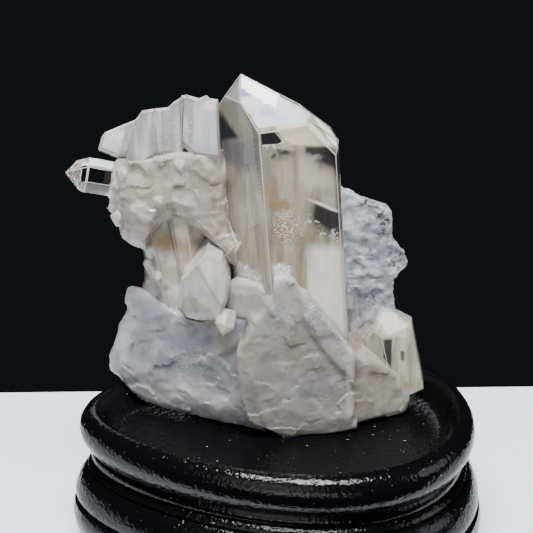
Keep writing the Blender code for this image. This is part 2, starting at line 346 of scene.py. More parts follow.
# %% Group: fine relief
# Small chips, growth steps and a fine grain, as one height
relief_group, start, end = new_group(
    "relief",
    [
        ("Vector", "vector", None),
        ("Chips", "float", 0.5),
        ("Chip Size", "float", 0.003),
        ("Grain", "float", 0.3),
        ("Grain Size", "float", 0.0008),
    ],
    [("Height", "float")],
)
chip_scale = node(
    relief_group, "ShaderNodeMath", {"operation": "DIVIDE"}, {0: 1.0, 1: start.outputs["Chip Size"]}
)
chips = node(
    relief_group,
    "ShaderNodeTexVoronoi",
    {"feature": "SMOOTH_F1"},
    {"Vector": start.outputs["Vector"], "Scale": chip_scale.outputs[0], "Smoothness": 0.3},
)
grain_scale = node(
    relief_group, "ShaderNodeMath", {"operation": "DIVIDE"}, {0: 1.0, 1: start.outputs["Grain Size"]}
)
grain = node(
    relief_group,
    "ShaderNodeTexNoise",
    None,
    {"Vector": start.outputs["Vector"], "Scale": grain_scale.outputs[0], "Detail": 3.0},
)
chip_part = node(
    relief_group,
    "ShaderNodeMath",
    {"operation": "MULTIPLY"},
    {0: chips.outputs["Distance"], 1: start.outputs["Chips"]},
)
relief_sum = node(
    relief_group,
    "ShaderNodeMath",
    {"operation": "MULTIPLY_ADD"},
    {0: grain.outputs["Fac"], 1: start.outputs["Grain"], 2: chip_part.outputs[0]},
)
relief_group.links.new(relief_sum.outputs[0], end.inputs["Height"])
print("groups:", ", ".join(group.name for group in bpy.data.node_groups))

# %% [markdown]
# ## The finishes
# Milky quartz is translucent: light goes in, scatters and comes out nearby. Subsurface scattering does
# that, with a little transmission and a glossy surface on top. Clear quartz is plain glass with quartz's
# refractive index of 1.544. What is cloudy inside a clear crystal is a body of its own under the surface.

# %% Finish: milky quartz
QUARTZ_INDEX = 1.544


def new_finish(name):
    """A material with one Principled shader, and its object coordinates."""
    finish = bpy.data.materials.new(name)
    finish.use_nodes = True
    tree = finish.node_tree
    shader = tree.nodes["Principled BSDF"]
    place = node(tree, "ShaderNodeTexCoord").outputs["Object"]
    return finish, tree, shader, place


def seen_from_the_front(tree, place):
    """Coordinates turned so that Z runs up a picture taken from the front at 28 degrees."""
    turned = node(
        tree, "ShaderNodeMapping", {"vector_type": "POINT"}, {"Vector": place, "Rotation": (VIEW_DOWN, 0.0, 0.0)}
    )
    return turned.outputs["Vector"]


def wavy(tree, vector, amount, scale=500.0):
    """The coordinates, moved about by a noise, so that what is placed by them has uneven edges."""
    waves = node(tree, "ShaderNodeTexNoise", None, {"Vector": vector, "Scale": scale, "Detail": 3.0})
    centred = node(
        tree, "ShaderNodeVectorMath", {"operation": "SUBTRACT"}, {0: waves.outputs["Color"], 1: (0.5, 0.5, 0.5)}
    )
    sized = node(
        tree, "ShaderNodeVectorMath", {"operation": "SCALE"}, {0: centred.outputs[0], "Scale": amount * MM}
    )
    return node(tree, "ShaderNodeVectorMath", {"operation": "ADD"}, {0: vector, 1: sized.outputs[0]}).outputs[0]


def group_node(tree, group, values):
    return node(tree, "ShaderNodeGroup", {"node_tree": group}, values)


def maths(tree, operation, first, second, third=0.0):
    return node(tree, "ShaderNodeMath", {"operation": operation}, {0: first, 1: second, 2: third}).outputs[0]


def mix_colour(tree, factor, first, second):
    made = tree.nodes.new("ShaderNodeMix")
    made.data_type = "RGBA"
    for label, value in (("Factor", factor), ("A", first), ("B", second)):
        socket = next(item for item in made.inputs if item.name == label and item.enabled)
        if isinstance(value, bpy.types.NodeSocket):
            tree.links.new(value, socket)
        elif label == "Factor":
            socket.default_value = value
        else:
            socket.default_value = (*value, 1.0)
    return next(item for item in made.outputs if item.enabled)


def round_mark(tone, at, size, soft=0.7, wobble=2.0, strength=1.0, specks=0.0):
    """A soft oval mark at a seen place. With specks, in mm, it is broken up into specks of about that size."""
    return {
        "tone": tone,
        "at": at,
        "size": size,
        "soft": soft,
        "wobble": wobble,
        "strength": strength,
        "specks": specks,
    }


def pane_mark(tone, corners, soft=0.3, strength=1.0, specks=0.0):
    """A mark with straight edges between seen corners. A tone of None makes a clear place."""
    return {"tone": tone, "corners": corners, "soft": soft, "strength": strength, "specks": specks}


def mark_mask(tree, seen, mark):
    if "at" in mark:
        values = {
            "Vector": seen,
            "Centre": (mark["at"][0] * MM, 0.0, mark["at"][1] * MM),
            "Size": (mark["size"][0] * MM, 1.0, mark["size"][1] * MM),
            "Edge": mark["soft"],
            "Wobble": mark["wobble"] * MM,
        }
        return group_node(tree, patch_group, values).outputs["Mask"]
    corners = [Vector((x, 0.0, up)) * MM for x, up in mark["corners"]]
    middle = sum(corners, Vector()) / len(corners)
    mask = None
    for first, second in zip(corners, corners[1:] + corners[:1]):
        inwards = Vector((first.z - second.z, 0.0, second.x - first.x)).normalized()
        if (middle - first).dot(inwards) < 0.0:
            inwards.negate()
        values = {"Vector": seen, "Point": first, "Direction": inwards, "Softness": mark["soft"] * MM}
        side = group_node(tree, edge_group, values).outputs["Mask"]
        mask = side if mask is None else maths(tree, "MULTIPLY", mask, side)
    return mask


def lay_marks(tree, seen, colour, cover, marks):
    """Lays the marks one over another. A mark with no tone is a clear place, and goes into the cover."""
    for mark in marks:
        mask = maths(tree, "MULTIPLY", mark_mask(tree, seen, mark), mark["strength"])
        if mark["specks"]:
            values = {"Vector": seen, "Size": mark["specks"] * MM, "Low": 0.52, "High": 0.6, "Detail": 2.0}
            mask = maths(tree, "MULTIPLY", mask, group_node(tree, cloud_group, values).outputs["Mask"])
        if mark["tone"] is None:
            cover = maths(tree, "MULTIPLY", cover, maths(tree, "SUBTRACT", 1.0, mask))
        else:
            colour = mix_colour(tree, mask, colour, mark["tone"])
    return colour, cover


def milky_finish(
    name, pale, deep, marks=(), cloud_size=9.0, roughness=0.3, see_through=0.2, chips=0.4, cover=(1.0, 1.0)
):
    """Translucent quartz whose tone drifts from pale to deep in clouds, between two shares of cover."""
    finish, tree, shader, place = new_finish(name)
    seen = wavy(tree, seen_from_the_front(tree, place), 0.3)
    clouds = group_node(
        tree, cloud_group, {"Vector": place, "Size": cloud_size * MM, "Low": 0.38, "High": 0.66}
    ).outputs["Mask"]
    colour = mix_colour(tree, clouds, deep, pale)
    wisps = group_node(
        tree, cloud_group, {"Vector": place, "Size": 2.2 * MM, "Low": 0.5, "High": 0.75, "Detail": 6.0}
    ).outputs["Mask"]
    some = maths(tree, "MULTIPLY", wisps, 0.35)
    colour = mix_colour(tree, some, colour, [min(1.0, part * 1.12) for part in pale])
    share = maths(tree, "MULTIPLY_ADD", clouds, cover[1] - cover[0], cover[0])
    colour, share = lay_marks(tree, seen, colour, share, marks)
    tree.links.new(colour, shader.inputs["Base Color"])
    if cover != (1.0, 1.0) or any(mark["tone"] is None for mark in marks):
        tree.links.new(share, shader.inputs["Alpha"])
    height = group_node(tree, relief_group, {"Vector": place, "Chips": chips}).outputs["Height"]
    bump = node(tree, "ShaderNodeBump", None, {"Height": height, "Strength": 0.35, "Distance": 0.0004})
    tree.links.new(bump.outputs["Normal"], shader.inputs["Normal"])
    shader.inputs["Roughness"].default_value = roughness
    shader.inputs["IOR"].default_value = QUARTZ_INDEX
    shader.inputs["Subsurface Weight"].default_value = 0.6
    shader.inputs["Subsurface Radius"].default_value = (1.0, 0.95, 0.9)
    shader.inputs["Subsurface Scale"].default_value = 0.0025
    shader.inputs["Transmission Weight"].default_value = see_through
    return finish


BEIGE = (0.74, 0.69, 0.60)
PALE_BEIGE = (0.80, 0.77, 0.71)
BLUE_GREY = (0.56, 0.58, 0.64)
PALE_BLUE = (0.72, 0.74, 0.80)
WHITE = (0.88, 0.88, 0.88)
BROWN = (0.38, 0.26, 0.14)
RUST = (0.45, 0.27, 0.12)

# %% Finish: clear quartz


LAMPS_THROUGH = True


def clear_finish(name, tint=(1.0, 1.0, 1.0), roughness=0.0):
    """Clear crystal. Its transmission and index are plain values, and its surface has faint growth lines."""
    finish, tree, shader, place = new_finish(name)
    lines = node(
        tree,
        "ShaderNodeTexWave",
        {"wave_type": "BANDS", "bands_direction": "Z"},
        {"Vector": place, "Scale": 260.0, "Distortion": 3.0, "Detail": 2.0, "Detail Scale": 1.0},
    )
    bump = node(
        tree, "ShaderNodeBump", None, {"Height": lines.outputs["Fac"], "Strength": 0.04, "Distance": 0.0001}
    )
    tree.links.new(bump.outputs["Normal"], shader.inputs["Normal"])
    shader.inputs["Base Color"].default_value = (*tint, 1.0)
    shader.inputs["Roughness"].default_value = roughness
    shader.inputs["IOR"].default_value = QUARTZ_INDEX
    shader.inputs["Transmission Weight"].default_value = 1.0
    if LAMPS_THROUGH:
        path = node(tree, "ShaderNodeLightPath")
        gap = node(tree, "ShaderNodeBsdfTransparent", None, {"Color": (0.92, 0.92, 0.92, 1.0)})
        both = node(tree, "ShaderNodeMixShader", None, {0: path.outputs["Is Shadow Ray"]})
        tree.links.new(shader.outputs["BSDF"], both.inputs[1])
        tree.links.new(gap.outputs["BSDF"], both.inputs[2])
        tree.links.new(both.outputs["Shader"], tree.nodes["Material Output"].inputs["Surface"])
    return finish


clear_quartz = clear_finish("clear_quartz")
worn_edge, tree, shader, place = new_finish("worn_edge")
shader.inputs["Base Color"].default_value = (0.66, 0.65, 0.62, 1.0)
shader.inputs["Roughness"].default_value = 0.4
shader.inputs["Subsurface Weight"].default_value = 0.5
shader.inputs["Subsurface Scale"].default_value = 0.001
print("finishes:", ", ".join(finish.name for finish in bpy.data.materials if finish.name != "quartz"))

# %% [markdown]
# ## Growing a crystal
# A quartz crystal is a prism with six sides under a pointed tip. Each face is flat because the atoms
# stack in planes, so the honest way to model one is to start from a six-sided block and cut one flat
# face after another, as a gem cutter would. The cuts are made with bisect, and each one is closed.

# %% Tools for crystals
SIDE_STEP = 60.0
TIP_SLOPE = 51.8


def crystal_axes(axis):
    """The axis, and the directions to its right and its front, for someone who looks along +Y."""
    along = axis.normalized()
    right = Vector((0.0, 1.0, 0.0)).cross(along).normalized()
    return along, right, right.cross(along)


def face_direction(axes, turn, slope):
    """The outward direction of a face, from its turn round the axis and its slope from the axis."""
    along, right, front = axes
    around = right * math.sin(math.radians(turn)) + front * math.cos(math.radians(turn))
    return along * math.cos(math.radians(slope)) + around * math.sin(math.radians(slope))


def two_finishes(piece):
    """Room for the finish of the faces and, after it, the frosted one of the worn edges."""
    piece.data.materials.append(clear_quartz)
    piece.data.materials.append(worn_edge)


def cut_crystal(name, foot, axes, turn, sides, tip_faces, edge, frosted=False):
    """A six-sided block, cut one face at a time, with its edges a little worn."""
    along = axes[0]
    length = max(height for _, _, height in tip_faces)
    select_nothing()
    bpy.ops.mesh.primitive_cylinder_add(
        vertices=6,
        radius=3.0 * max(sides),
        depth=1.6 * length,
        location=foot + along * 0.8 * length,
        rotation=along.to_track_quat("Z", "Y").to_euler(),
    )
    piece = bpy.context.object
    piece.name = name
    settle(piece)
    if frosted:
        two_finishes(piece)
    cuts = [(turn + SIDE_STEP * number, 90.0, distance) for number, distance in enumerate(sides)]
    planes = [(face_direction(axes, around, slope), distance) for around, slope, distance in cuts]
    bpy.ops.object.mode_set(mode="EDIT")
    for outwards, distance in planes:
        bpy.ops.mesh.select_all(action="SELECT")
        bpy.ops.mesh.bisect(
            plane_co=foot + outwards * distance, plane_no=outwards, use_fill=True, clear_outer=True
        )
    for around, slope, height in tip_faces:
        bpy.ops.mesh.select_all(action="SELECT")
        bpy.ops.mesh.bisect(
            plane_co=foot + along * height,
            plane_no=face_direction(axes, around, slope),
            use_fill=True,
            clear_outer=True,
        )
    bpy.ops.mesh.select_all(action="SELECT")
    bpy.ops.mesh.remove_doubles(threshold=0.00001)
    if edge > 0.0:
        bpy.ops.mesh.select_all(action="SELECT")
        bpy.ops.mesh.bevel(offset=edge, segments=2, affect="EDGES", material=1 if frosted else -1)
    bpy.ops.mesh.select_all(action="SELECT")
    bpy.ops.mesh.normals_make_consistent(inside=False)
    bpy.ops.object.mode_set(mode="OBJECT")
    bpy.ops.object.shade_smooth_by_angle(angle=math.radians(18.0))
    return piece


def dress(piece, finish):
    """Gives the piece its finish, and lets it ride on the one body."""
    if piece.data.materials:
        piece.data.materials[0] = finish
    else:
        piece.data.materials.append(finish)
    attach(piece, "root")
    return piece


# %% [markdown]
# ## The tall crystal
# It leans a little to the left, and its six sides are unequal. The tip has one large face at the front,
# where the true quartz angles of 51.8 degrees show, and a narrow extra face at the right shoulder.

# %% The tall crystal's clear body
TALL_FOOT = Vector((6.8, 10.0, 39.3)) * MM
TALL_LEAN = Vector((-math.tan(math.radians(4.2)), -math.tan(math.radians(0.5)), 1.0))
TALL_TURN = -47.7
TALL_SIDES = (14.6, 15.0, 18.0, 5.9, 5.3, 13.9)
TALL_TIP = (
    (-44.7, 57.2, 127.0),
    (12.3, 51.8, 116.3),
    (47.0, 66.3, 131.5),
    (72.3, 51.8, 113.6),
    (137.7, 48.1, 98.6),
    (-107.3, 52.8, 118.7),
)


def tall_body(name, inset, edge, frosted=False):
    """The tall crystal's form, drawn in from its faces by the inset."""
    sides = [(distance - inset) * MM for distance in TALL_SIDES]
    tips = []
    for around, slope, height in TALL_TIP:
        lower = inset / math.cos(math.radians(slope))
        tips.append((around, slope, (height - lower) * MM))
    return cut_crystal(name, TALL_FOOT, crystal_axes(TALL_LEAN), TALL_TURN, sides, tips, edge * MM, frosted)


tall_crystal = dress(tall_body("tall_crystal", 0.0, 0.2, True), clear_quartz)
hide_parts("quartz_cluster")
print("tall crystal:", len(tall_crystal.data.polygons), "faces")

# %% The cloudy body inside it
CLOUD_LAYERS = (0.6, 2.6, 5.0)
# Milky white of the front tip face, lifted into a painted highlight of the light from above that the face catches
TIP_WHITE_AND_PAINTED_HIGHLIGHT = (0.62, 0.64, 0.68)
TIP_BEIGE = (0.55, 0.51, 0.42)
SMOKE = (0.30, 0.30, 0.32)


def inner_cloud_finish(name, pale, deep, marks, front_top, back_top):
    """A cloudy body under clear faces. It thins out towards its top, sooner at the back than at the front."""
    finish, tree, shader, place = new_finish(name)
    seen = wavy(tree, seen_from_the_front(tree, place), 0.25)
    drawn = node(tree, "ShaderNodeMapping", {"vector_type": "POINT"}, {"Vector": place, "Scale": (1.0, 1.0, 0.16)})
    streaks = group_node(
        tree,
        cloud_group,
        {"Vector": drawn.outputs["Vector"], "Size": 2.6 * MM, "Low": 0.32, "High": 0.68, "Detail": 5.0},
    ).outputs["Mask"]
    colour = mix_colour(tree, streaks, deep, pale)
    height = node(tree, "ShaderNodeSeparateXYZ", None, {0: place}).outputs["Z"]
    normal = node(tree, "ShaderNodeTexCoord").outputs["Normal"]
    backwards = node(tree, "ShaderNodeSeparateXYZ", None, {0: normal}).outputs["Y"]
    at_back = node(
        tree, "ShaderNodeMapRange", None, {"Value": backwards, "From Min": -0.1, "From Max": 0.1}
    ).outputs["Result"]
    drop = (front_top - back_top) * MM
    ragged = node(tree, "ShaderNodeTexNoise", None, {"Vector": place, "Scale": 160.0, "Detail": 4.0})
    lifted = maths(tree, "MULTIPLY_ADD", ragged.outputs["Fac"], 0.014, height)
    lifted = maths(tree, "MULTIPLY_ADD", at_back, drop, lifted)
    cover = node(
        tree,
        "ShaderNodeMapRange",
        {"interpolation_type": "SMOOTHSTEP"},
        {
            "Value": lifted,
            "From Min": (front_top - 2.0) * MM,
            "From Max": (front_top + 8.0) * MM,
            "To Min": 1.0,
            "To Max": 0.0,
        },
    ).outputs["Result"]
    colour, cover = lay_marks(tree, seen, colour, cover, marks)
    tree.links.new(colour, shader.inputs["Base Color"])
    tree.links.new(cover, shader.inputs["Alpha"])
    shader.inputs["Roughness"].default_value = 0.6
    shader.inputs["Specular IOR Level"].default_value = 0.0
    shader.inputs["Subsurface Weight"].default_value = 0.3
    shader.inputs["Subsurface Scale"].default_value = 0.002
    return finish


# What shows under the tall crystal's faces, from its tip downwards
TIP_FRONT = ((-10.1, 134.3), (5.6, 126.2), (8.2, 122.6), (8.0, 119.7), (-5.2, 118.0), (-10.2, 125.5))
# Near black: painted darkness, a painted reflection of the dark room that shows through the clear quartz
PAINTED_ROOM_DARKNESS = (0.02, 0.021, 0.024)
TALL_MARKS = (
    # The dark greys at the upper left of the tip are painted darkness: the dark room seen through the clear tip
    pane_mark((0.24, 0.235, 0.22), ((-10.1, 134.8), (-10.2, 125.5), (-16.5, 126.4)), 0.2),
    pane_mark((0.22, 0.21, 0.17), ((-15.9, 126.2), (-10.2, 125.5), (-5.2, 118.0), (-4.9, 114.1), (-9.5, 116.0)), 0.4),
    pane_mark((0.11, 0.11, 0.125), ((-15.3, 116.5), (-9.7, 116.5), (-4.9, 115.7), (-4.3, 106.7), (-14.6, 109.4)), 2.2, 0.85),
    round_mark((0.2, 0.185, 0.16), (-9.5, 102.7), (7.0, 6.0), 0.9, 3.0, 0.55),
    round_mark((0.45, 0.42, 0.36), (-10.8, 97.2), (6.0, 9.0), 0.9, 3.0, 0.35),
    pane_mark(PALE_BEIGE, ((5.4, 126.3), (8.2, 122.5), (16.8, 115.7), (17.0, 112.0), (8.0, 119.7)), 0.2),
    pane_mark(
        (0.66, 0.60, 0.49),
        ((-0.8, 118.4), (7.9, 119.9), (16.0, 116.4), (15.8, 112.2), (14.4, 113.6), (3.3, 114.1), (1.0, 115.5)),
        0.25,
    ),
    pane_mark((0.42, 0.38, 0.31), ((2.2, 113.5), (3.5, 113.5), (4.4, 91.3), (3.0, 91.3)), 0.9, 0.55),
    # The front tip face: milky white with a painted highlight of the light from above
    pane_mark(TIP_WHITE_AND_PAINTED_HIGHLIGHT, TIP_FRONT, 0.15),
    pane_mark((0.24, 0.28, 0.40), ((-10.0, 128.9), (-7.0, 126.7), (-10.2, 126.0)), 0.3, 0.95),
    round_mark((0.32, 0.36, 0.48), (-2.7, 122.0), (3.0, 1.8), 0.9, 1.5, 0.75),
    round_mark((0.4, 0.44, 0.54), (0.0, 120.3), (3.0, 1.2), 0.9, 1.0, 0.5),
    round_mark(PAINTED_ROOM_DARKNESS, (-7.2, 121.4), (1.2, 1.6), 0.7, 0.5, 0.9, 0.35),
    round_mark((0.95, 0.95, 0.96), (-1.3, 113.6), (2.8, 1.5), 0.6, 2.0, 0.9, 0.5),
    pane_mark((0.9, 0.9, 0.91), ((-4.2, 114.5), (1.1, 115.1), (1.6, 114.5), (-4.0, 113.5)), 0.3, 0.9),
    round_mark((0.50, 0.48, 0.44), (9.5, 105.1), (6.0, 4.5), 0.9, 3.0, 0.7),
    round_mark((0.28, 0.20, 0.13), (-1.3, 101.5), (4.0, 7.0), 0.9, 3.0, 0.7),
    round_mark((0.25, 0.17, 0.10), (0.8, 98.3), (4.5, 2.4), 0.9, 3.0, 0.9),
    round_mark((0.25, 0.18, 0.11), (1.6, 92.3), (6.0, 6.5), 0.9, 4.0, 0.85),
    round_mark((0.26, 0.19, 0.12), (6.0, 89.1), (4.5, 4.0), 0.9, 2.0, 0.8),
    round_mark((0.40, 0.32, 0.22), (-9.5, 86.4), (5.0, 6.0), 0.9, 3.0, 0.4),
    round_mark(WHITE, (2.5, 92.9), (6.0, 7.0), 0.9, 2.0, 0.8, 0.45),
    round_mark((0.30, 0.31, 0.27), (13.3, 101.8), (3.6, 2.2), 0.9, 2.5, 0.85),
    pane_mark((0.34, 0.30, 0.25), ((4.6, 104.8), (7.1, 104.8), (7.6, 95.6), (5.2, 95.6)), 1.2, 0.6),
    pane_mark((0.90, 0.89, 0.86), ((8.4, 87.5), (18.5, 87.5), (20.4, 60.6), (8.4, 73.4)), 1.8, 0.65),
    round_mark((0.60, 0.56, 0.48), (12.0, 79.3), (3.5, 2.5), 0.9, 2.0, 0.5),
    # The near-black panes and marks that follow are painted darkness: the dark room seen through the clear tip and its
    # right face
    pane_mark(PAINTED_ROOM_DARKNESS, ((-15.8, 124.4), (-9.7, 116.0), (-15.6, 116.0)), 0.9, 1.0),
    pane_mark(PAINTED_ROOM_DARKNESS, ((-4.6, 116.7), (-1.1, 117.1), (1.0, 114.7), (-0.3, 114.1), (-4.3, 113.8)), 0.1),
    round_mark(PAINTED_ROOM_DARKNESS, (1.4, 112.2), (2.8, 1.1), 0.8, 2.5, 0.95),
    round_mark(PAINTED_ROOM_DARKNESS, (-1.1, 110.8), (1.3, 1.2), 0.9, 2.5, 0.8),
    round_mark((0.08, 0.08, 0.085), (1.9, 111.3), (4.6, 2.0), 0.9, 3.0, 0.6),
    pane_mark(PAINTED_ROOM_DARKNESS, ((7.0, 113.8), (14.4, 113.7), (15.9, 112.0), (15.9, 108.1), (7.1, 111.3)), 0.7, 0.9),
    pane_mark(PAINTED_ROOM_DARKNESS, ((5.4, 113.0), (16.0, 113.0), (16.6, 104.8), (12.0, 107.5), (5.4, 110.0)), 2.2, 0.6),
    pane_mark(PAINTED_ROOM_DARKNESS, ((13.9, 113.2), (15.9, 112.2), (16.8, 104.8), (15.6, 105.9)), 0.7, 0.85),
    pane_mark(PAINTED_ROOM_DARKNESS, ((15.2, 109.4), (16.7, 109.4), (17.7, 96.1), (15.8, 96.1)), 0.9, 0.6),
    round_mark((0.42, 0.40, 0.37), (9.0, 110.8), (4.0, 1.6), 0.9, 3.5, 0.7),
    pane_mark(PAINTED_ROOM_DARKNESS, ((9.9, 99.1), (16.8, 96.7), (17.7, 89.1), (13.6, 92.1), (9.2, 94.5)), 0.8, 0.85),
    pane_mark(PAINTED_ROOM_DARKNESS, ((8.7, 99.1), (16.8, 97.2), (18.2, 87.5), (14.1, 89.6), (8.4, 92.9)), 2.0, 0.55),
    pane_mark(WHITE, ((7.6, 100.2), (12.0, 99.2), (16.2, 97.3), (16.2, 96.7), (11.7, 98.3)), 0.4, 0.8),
    round_mark((0.62, 0.60, 0.55), (9.0, 94.2), (2.6, 2.2), 0.8, 4.0, 0.85, 1.2),
    round_mark((0.62, 0.60, 0.55), (12.8, 91.3), (4.0, 1.8), 0.8, 4.0, 0.85, 1.2),
    round_mark(WHITE, (16.3, 90.2), (2.4, 3.4), 0.8, 2.0, 0.9, 0.4),
    pane_mark(
        (0.80, 0.80, 0.80),
        ((-12.7, 83.1), (-10.4, 83.5), (-5.7, 80.0), (-5.9, 77.8), (-9.8, 77.7), (-12.5, 79.1)),
        0.8,
        0.6,
    ),
    pane_mark(
        (0.96, 0.96, 0.96),
        ((-13.0, 83.4), (-10.4, 83.8), (-4.3, 79.5), (-4.9, 77.8), (-9.8, 78.0), (-12.5, 79.6)),
        0.5,
        0.95,
        0.9,
    ),
    pane_mark((0.80, 0.80, 0.80), ((-1.5, 82.4), (1.4, 83.0), (3.7, 81.6), (3.3, 79.1), (-1.1, 78.8)), 0.7, 0.6),
    pane_mark((0.96, 0.96, 0.96), ((-1.5, 82.7), (1.4, 83.3), (4.0, 81.9), (3.3, 79.3), (-1.1, 80.1)), 0.4, 0.95, 0.7),
    pane_mark((0.36, 0.24, 0.12), ((5.3, 83.1), (6.8, 83.1), (7.1, 75.3), (5.7, 76.3)), 0.8, 0.7),
    pane_mark((0.34, 0.22, 0.11), ((7.3, 84.2), (7.9, 84.2), (8.0, 74.7), (7.3, 74.7)), 0.4, 0.7),
    # Painted shadow: a brown-grey triangle where a shadow falls
    pane_mark((0.40, 0.31, 0.22), ((-4.6, 86.9), (-1.6, 86.9), (-1.3, 77.2), (-4.2, 80.4)), 1.2, 0.65),
)
tall_skin_cloud = inner_cloud_finish(
    "tall_cloud_outer", (0.46, 0.42, 0.355), (0.245, 0.215, 0.165), TALL_MARKS, 160.0, 108.0
)
tall_deep_cloud = inner_cloud_finish("tall_cloud_inner", (0.6, 0.54, 0.45), (0.3, 0.25, 0.19), (), 110.0, 104.0)
for number, inset in enumerate(CLOUD_LAYERS):
    cloud = tall_body("tall_crystal_cloud_" + str(number + 1), inset, 0.2)
    dress(cloud, tall_deep_cloud if number else tall_skin_cloud)

# %% [markdown]
# ## The smaller crystals
# They are made with the same tool. Quartz sides are never all equal, so a rule makes each one differ.

# %% Small crystals


def small_crystal(name, foot, point, across, flatness, turn, inset=0.0, edge=0.12):
    foot = Vector(foot) * MM
    axis = Vector(point) * MM - foot
    half = 0.5 * across * MM
    sides = []
    tips = []
    for number in range(6):
        squeeze = flatness if number % 3 else 1.0
        sides.append(half * squeeze * (1.0 + 0.08 * math.sin(2.3 * number + turn)) - inset * MM)
        drop = 0.35 * half * (number % 2) + 0.25 * half * (1.0 + math.cos(1.7 * number + turn))
        lower = inset * MM / math.cos(math.radians(TIP_SLOPE))
        tips.append((turn + SIDE_STEP * number, TIP_SLOPE, axis.length - drop - lower))
    return cut_crystal(name, foot, crystal_axes(axis), turn, sides, tips, edge * MM, inset == 0.0)


# Each crystal: foot, point, width across, flatness and turn. A clouded one's width also sets how deep its cloudy body
# lies
CLEAR_CRYSTALS = {
    "left_pointer": ((-36.0, 5.0, 115.6), (-60.4, 2.0, 121.4), 9.4, 0.9, 25.0),
    "left_pointer_twin": ((-38.0, 7.0, 113.0), (-49.5, 4.5, 114.4), 6.0, 0.8, 5.0),
    "hollow_bud": ((-14.0, 6.0, 104.0), (-11.2, -1.5, 97.0), 4.0, 0.9, 0.0),
}
CLOUDED_CRYSTALS = {
    "centre_bud": ((-14.2, -4.0, 81.1), (-15.7, -9.6, 73.4), 6.0, 0.9, 25.0),
    "right_column": ((26.0, 14.5, 50.0), (22.6, 16.0, 104.0), 9.5, 0.9, 10.0),
    "right_column_small": ((24.0, 11.5, 52.0), (21.0, 13.5, 104.0), 5.5, 0.9, -20.0),
    "left_column": ((-28.5, 11.0, 70.0), (-37.0, 9.5, 124.0), 12.5, 0.85, 10.0),
    "left_column_inner": ((-22.5, 9.0, 72.0), (-28.6, 8.0, 124.0), 11.5, 0.85, -12.0),
    "left_needle": ((-33.0, 8.0, 78.0), (-37.6, 5.5, 93.0), 2.8, 0.9, 0.0),
    "left_needle_low": ((-31.0, 8.0, 80.0), (-35.0, 3.5, 90.0), 3.2, 0.9, 20.0),
    "back_tall": ((2.0, 18.0, 60.0), (-10.0, 24.5, 117.0), 15.0, 0.85, 12.0),
    "back_left": ((-20.0, 18.0, 62.0), (-35.0, 27.0, 100.0), 13.0, 0.9, 40.0),
    "back_right": ((18.0, 18.0, 58.0), (22.0, 27.5, 88.0), 12.0, 0.85, -10.0),
    "back_low": ((-6.0, 18.0, 50.0), (-16.0, 32.5, 72.0), 9.0, 0.9, 5.0),
    "heart_bud_high": ((-41.3, 2.0, 119.6), (-42.5, -2.5, 124.5), 4.2, 0.85, 2.0),
    "heart_bud_left": ((-43.2, 3.0, 115.0), (-45.0, -1.5, 119.7), 4.0, 0.85, 51.0),
    "heart_bud_white": ((-31.5, 1.0, 110.8), (-32.8, -4.6, 116.4), 3.2, 0.85, 21.0),
    "heart_bud_low": ((-43.7, 3.0, 105.2), (-45.0, -1.0, 110.8), 3.6, 0.85, 33.0),
    "heart_bud_slit": ((-25.9, 1.0, 121.8), (-26.9, -2.5, 126.9), 3.4, 0.85, 14.0),
    "back_stub": ((8.0, 20.0, 50.0), (8.0, 33.0, 64.0), 8.0, 0.9, 30.0),
}
COLUMN_MARKS = (
    round_mark((0.34, 0.23, 0.12), (-30.9, 89.1), (7.0, 5.0), 0.9, 2.0, 0.85),
    round_mark((0.36, 0.25, 0.14), (-24.6, 86.4), (5.0, 6.0), 0.9, 2.0, 0.8),
    pane_mark((0.44, 0.30, 0.15), ((5.0, 84.2), (7.2, 84.2), (7.2, 74.7), (5.5, 75.5)), 0.5, 0.8),
    # Painted shadow: a brown-grey triangle where a shadow falls
    pane_mark((0.50, 0.40, 0.30), ((-4.3, 83.1), (-1.3, 83.1), (-0.8, 73.8), (-2.1, 74.9)), 0.5, 0.5),
    round_mark((0.92, 0.92, 0.92), (2.8, 72.7), (5.0, 8.0), 0.9, 2.0, 0.6, 0.4),
    round_mark((0.90, 0.90, 0.90), (14.3, 63.2), (9.0, 12.0), 0.9, 2.0, 0.8, 0.35),
)
column_cloud = milky_finish(
    "column_cloud", (0.78, 0.75, 0.69), (0.50, 0.46, 0.41), COLUMN_MARKS, 4.0, 0.5, 0.0, 0.0
)
LOWER_RIGHT = ((37.4, 11.5, 45.6), (30.0, 10.7, 79.4), 14.8, 0.9, -35.0)
LOWER_RIGHT_MARKS = (
    pane_mark(PALE_BEIGE, ((28.2, 68.6), (33.5, 69.1), (37.8, 65.2), (38.0, 61.3), (32.7, 61.3)), 0.3, 0.6),
    # The near-black panes are painted darkness: the dark room seen through the clear crystal
    pane_mark(PAINTED_ROOM_DARKNESS, ((31.0, 60.7), (33.5, 60.7), (33.5, 52.3), (31.3, 55.1)), 0.3, 0.9),
    pane_mark(PAINTED_ROOM_DARKNESS, ((36.1, 57.3), (37.5, 57.0), (37.5, 54.0), (36.4, 54.5)), 0.3, 0.8),
    round_mark((0.42, 0.24, 0.12), (24.0, 59.0), (2.4, 3.4), 0.9, 2.0, 0.6),
    round_mark((0.40, 0.30, 0.20), (38.9, 46.7), (2.4, 1.6), 0.6, 1.0, 0.8),
)
lower_right_cloud = inner_cloud_finish(
    "lower_right_cloud", (0.56, 0.55, 0.47), (0.32, 0.30, 0.24), LOWER_RIGHT_MARKS, 200.0, 200.0
)
dress(small_crystal("lower_right", *LOWER_RIGHT), clear_quartz)
dress(small_crystal("lower_right_cloud", *LOWER_RIGHT, inset=0.6), lower_right_cloud)
for name, values in CLEAR_CRYSTALS.items():
    dress(small_crystal(name, *values), clear_quartz)
for name, values in CLOUDED_CRYSTALS.items():
    dress(small_crystal(name, *values), clear_quartz)
    dress(small_crystal(name + "_cloud", *values, inset=0.07 * values[2]), column_cloud)
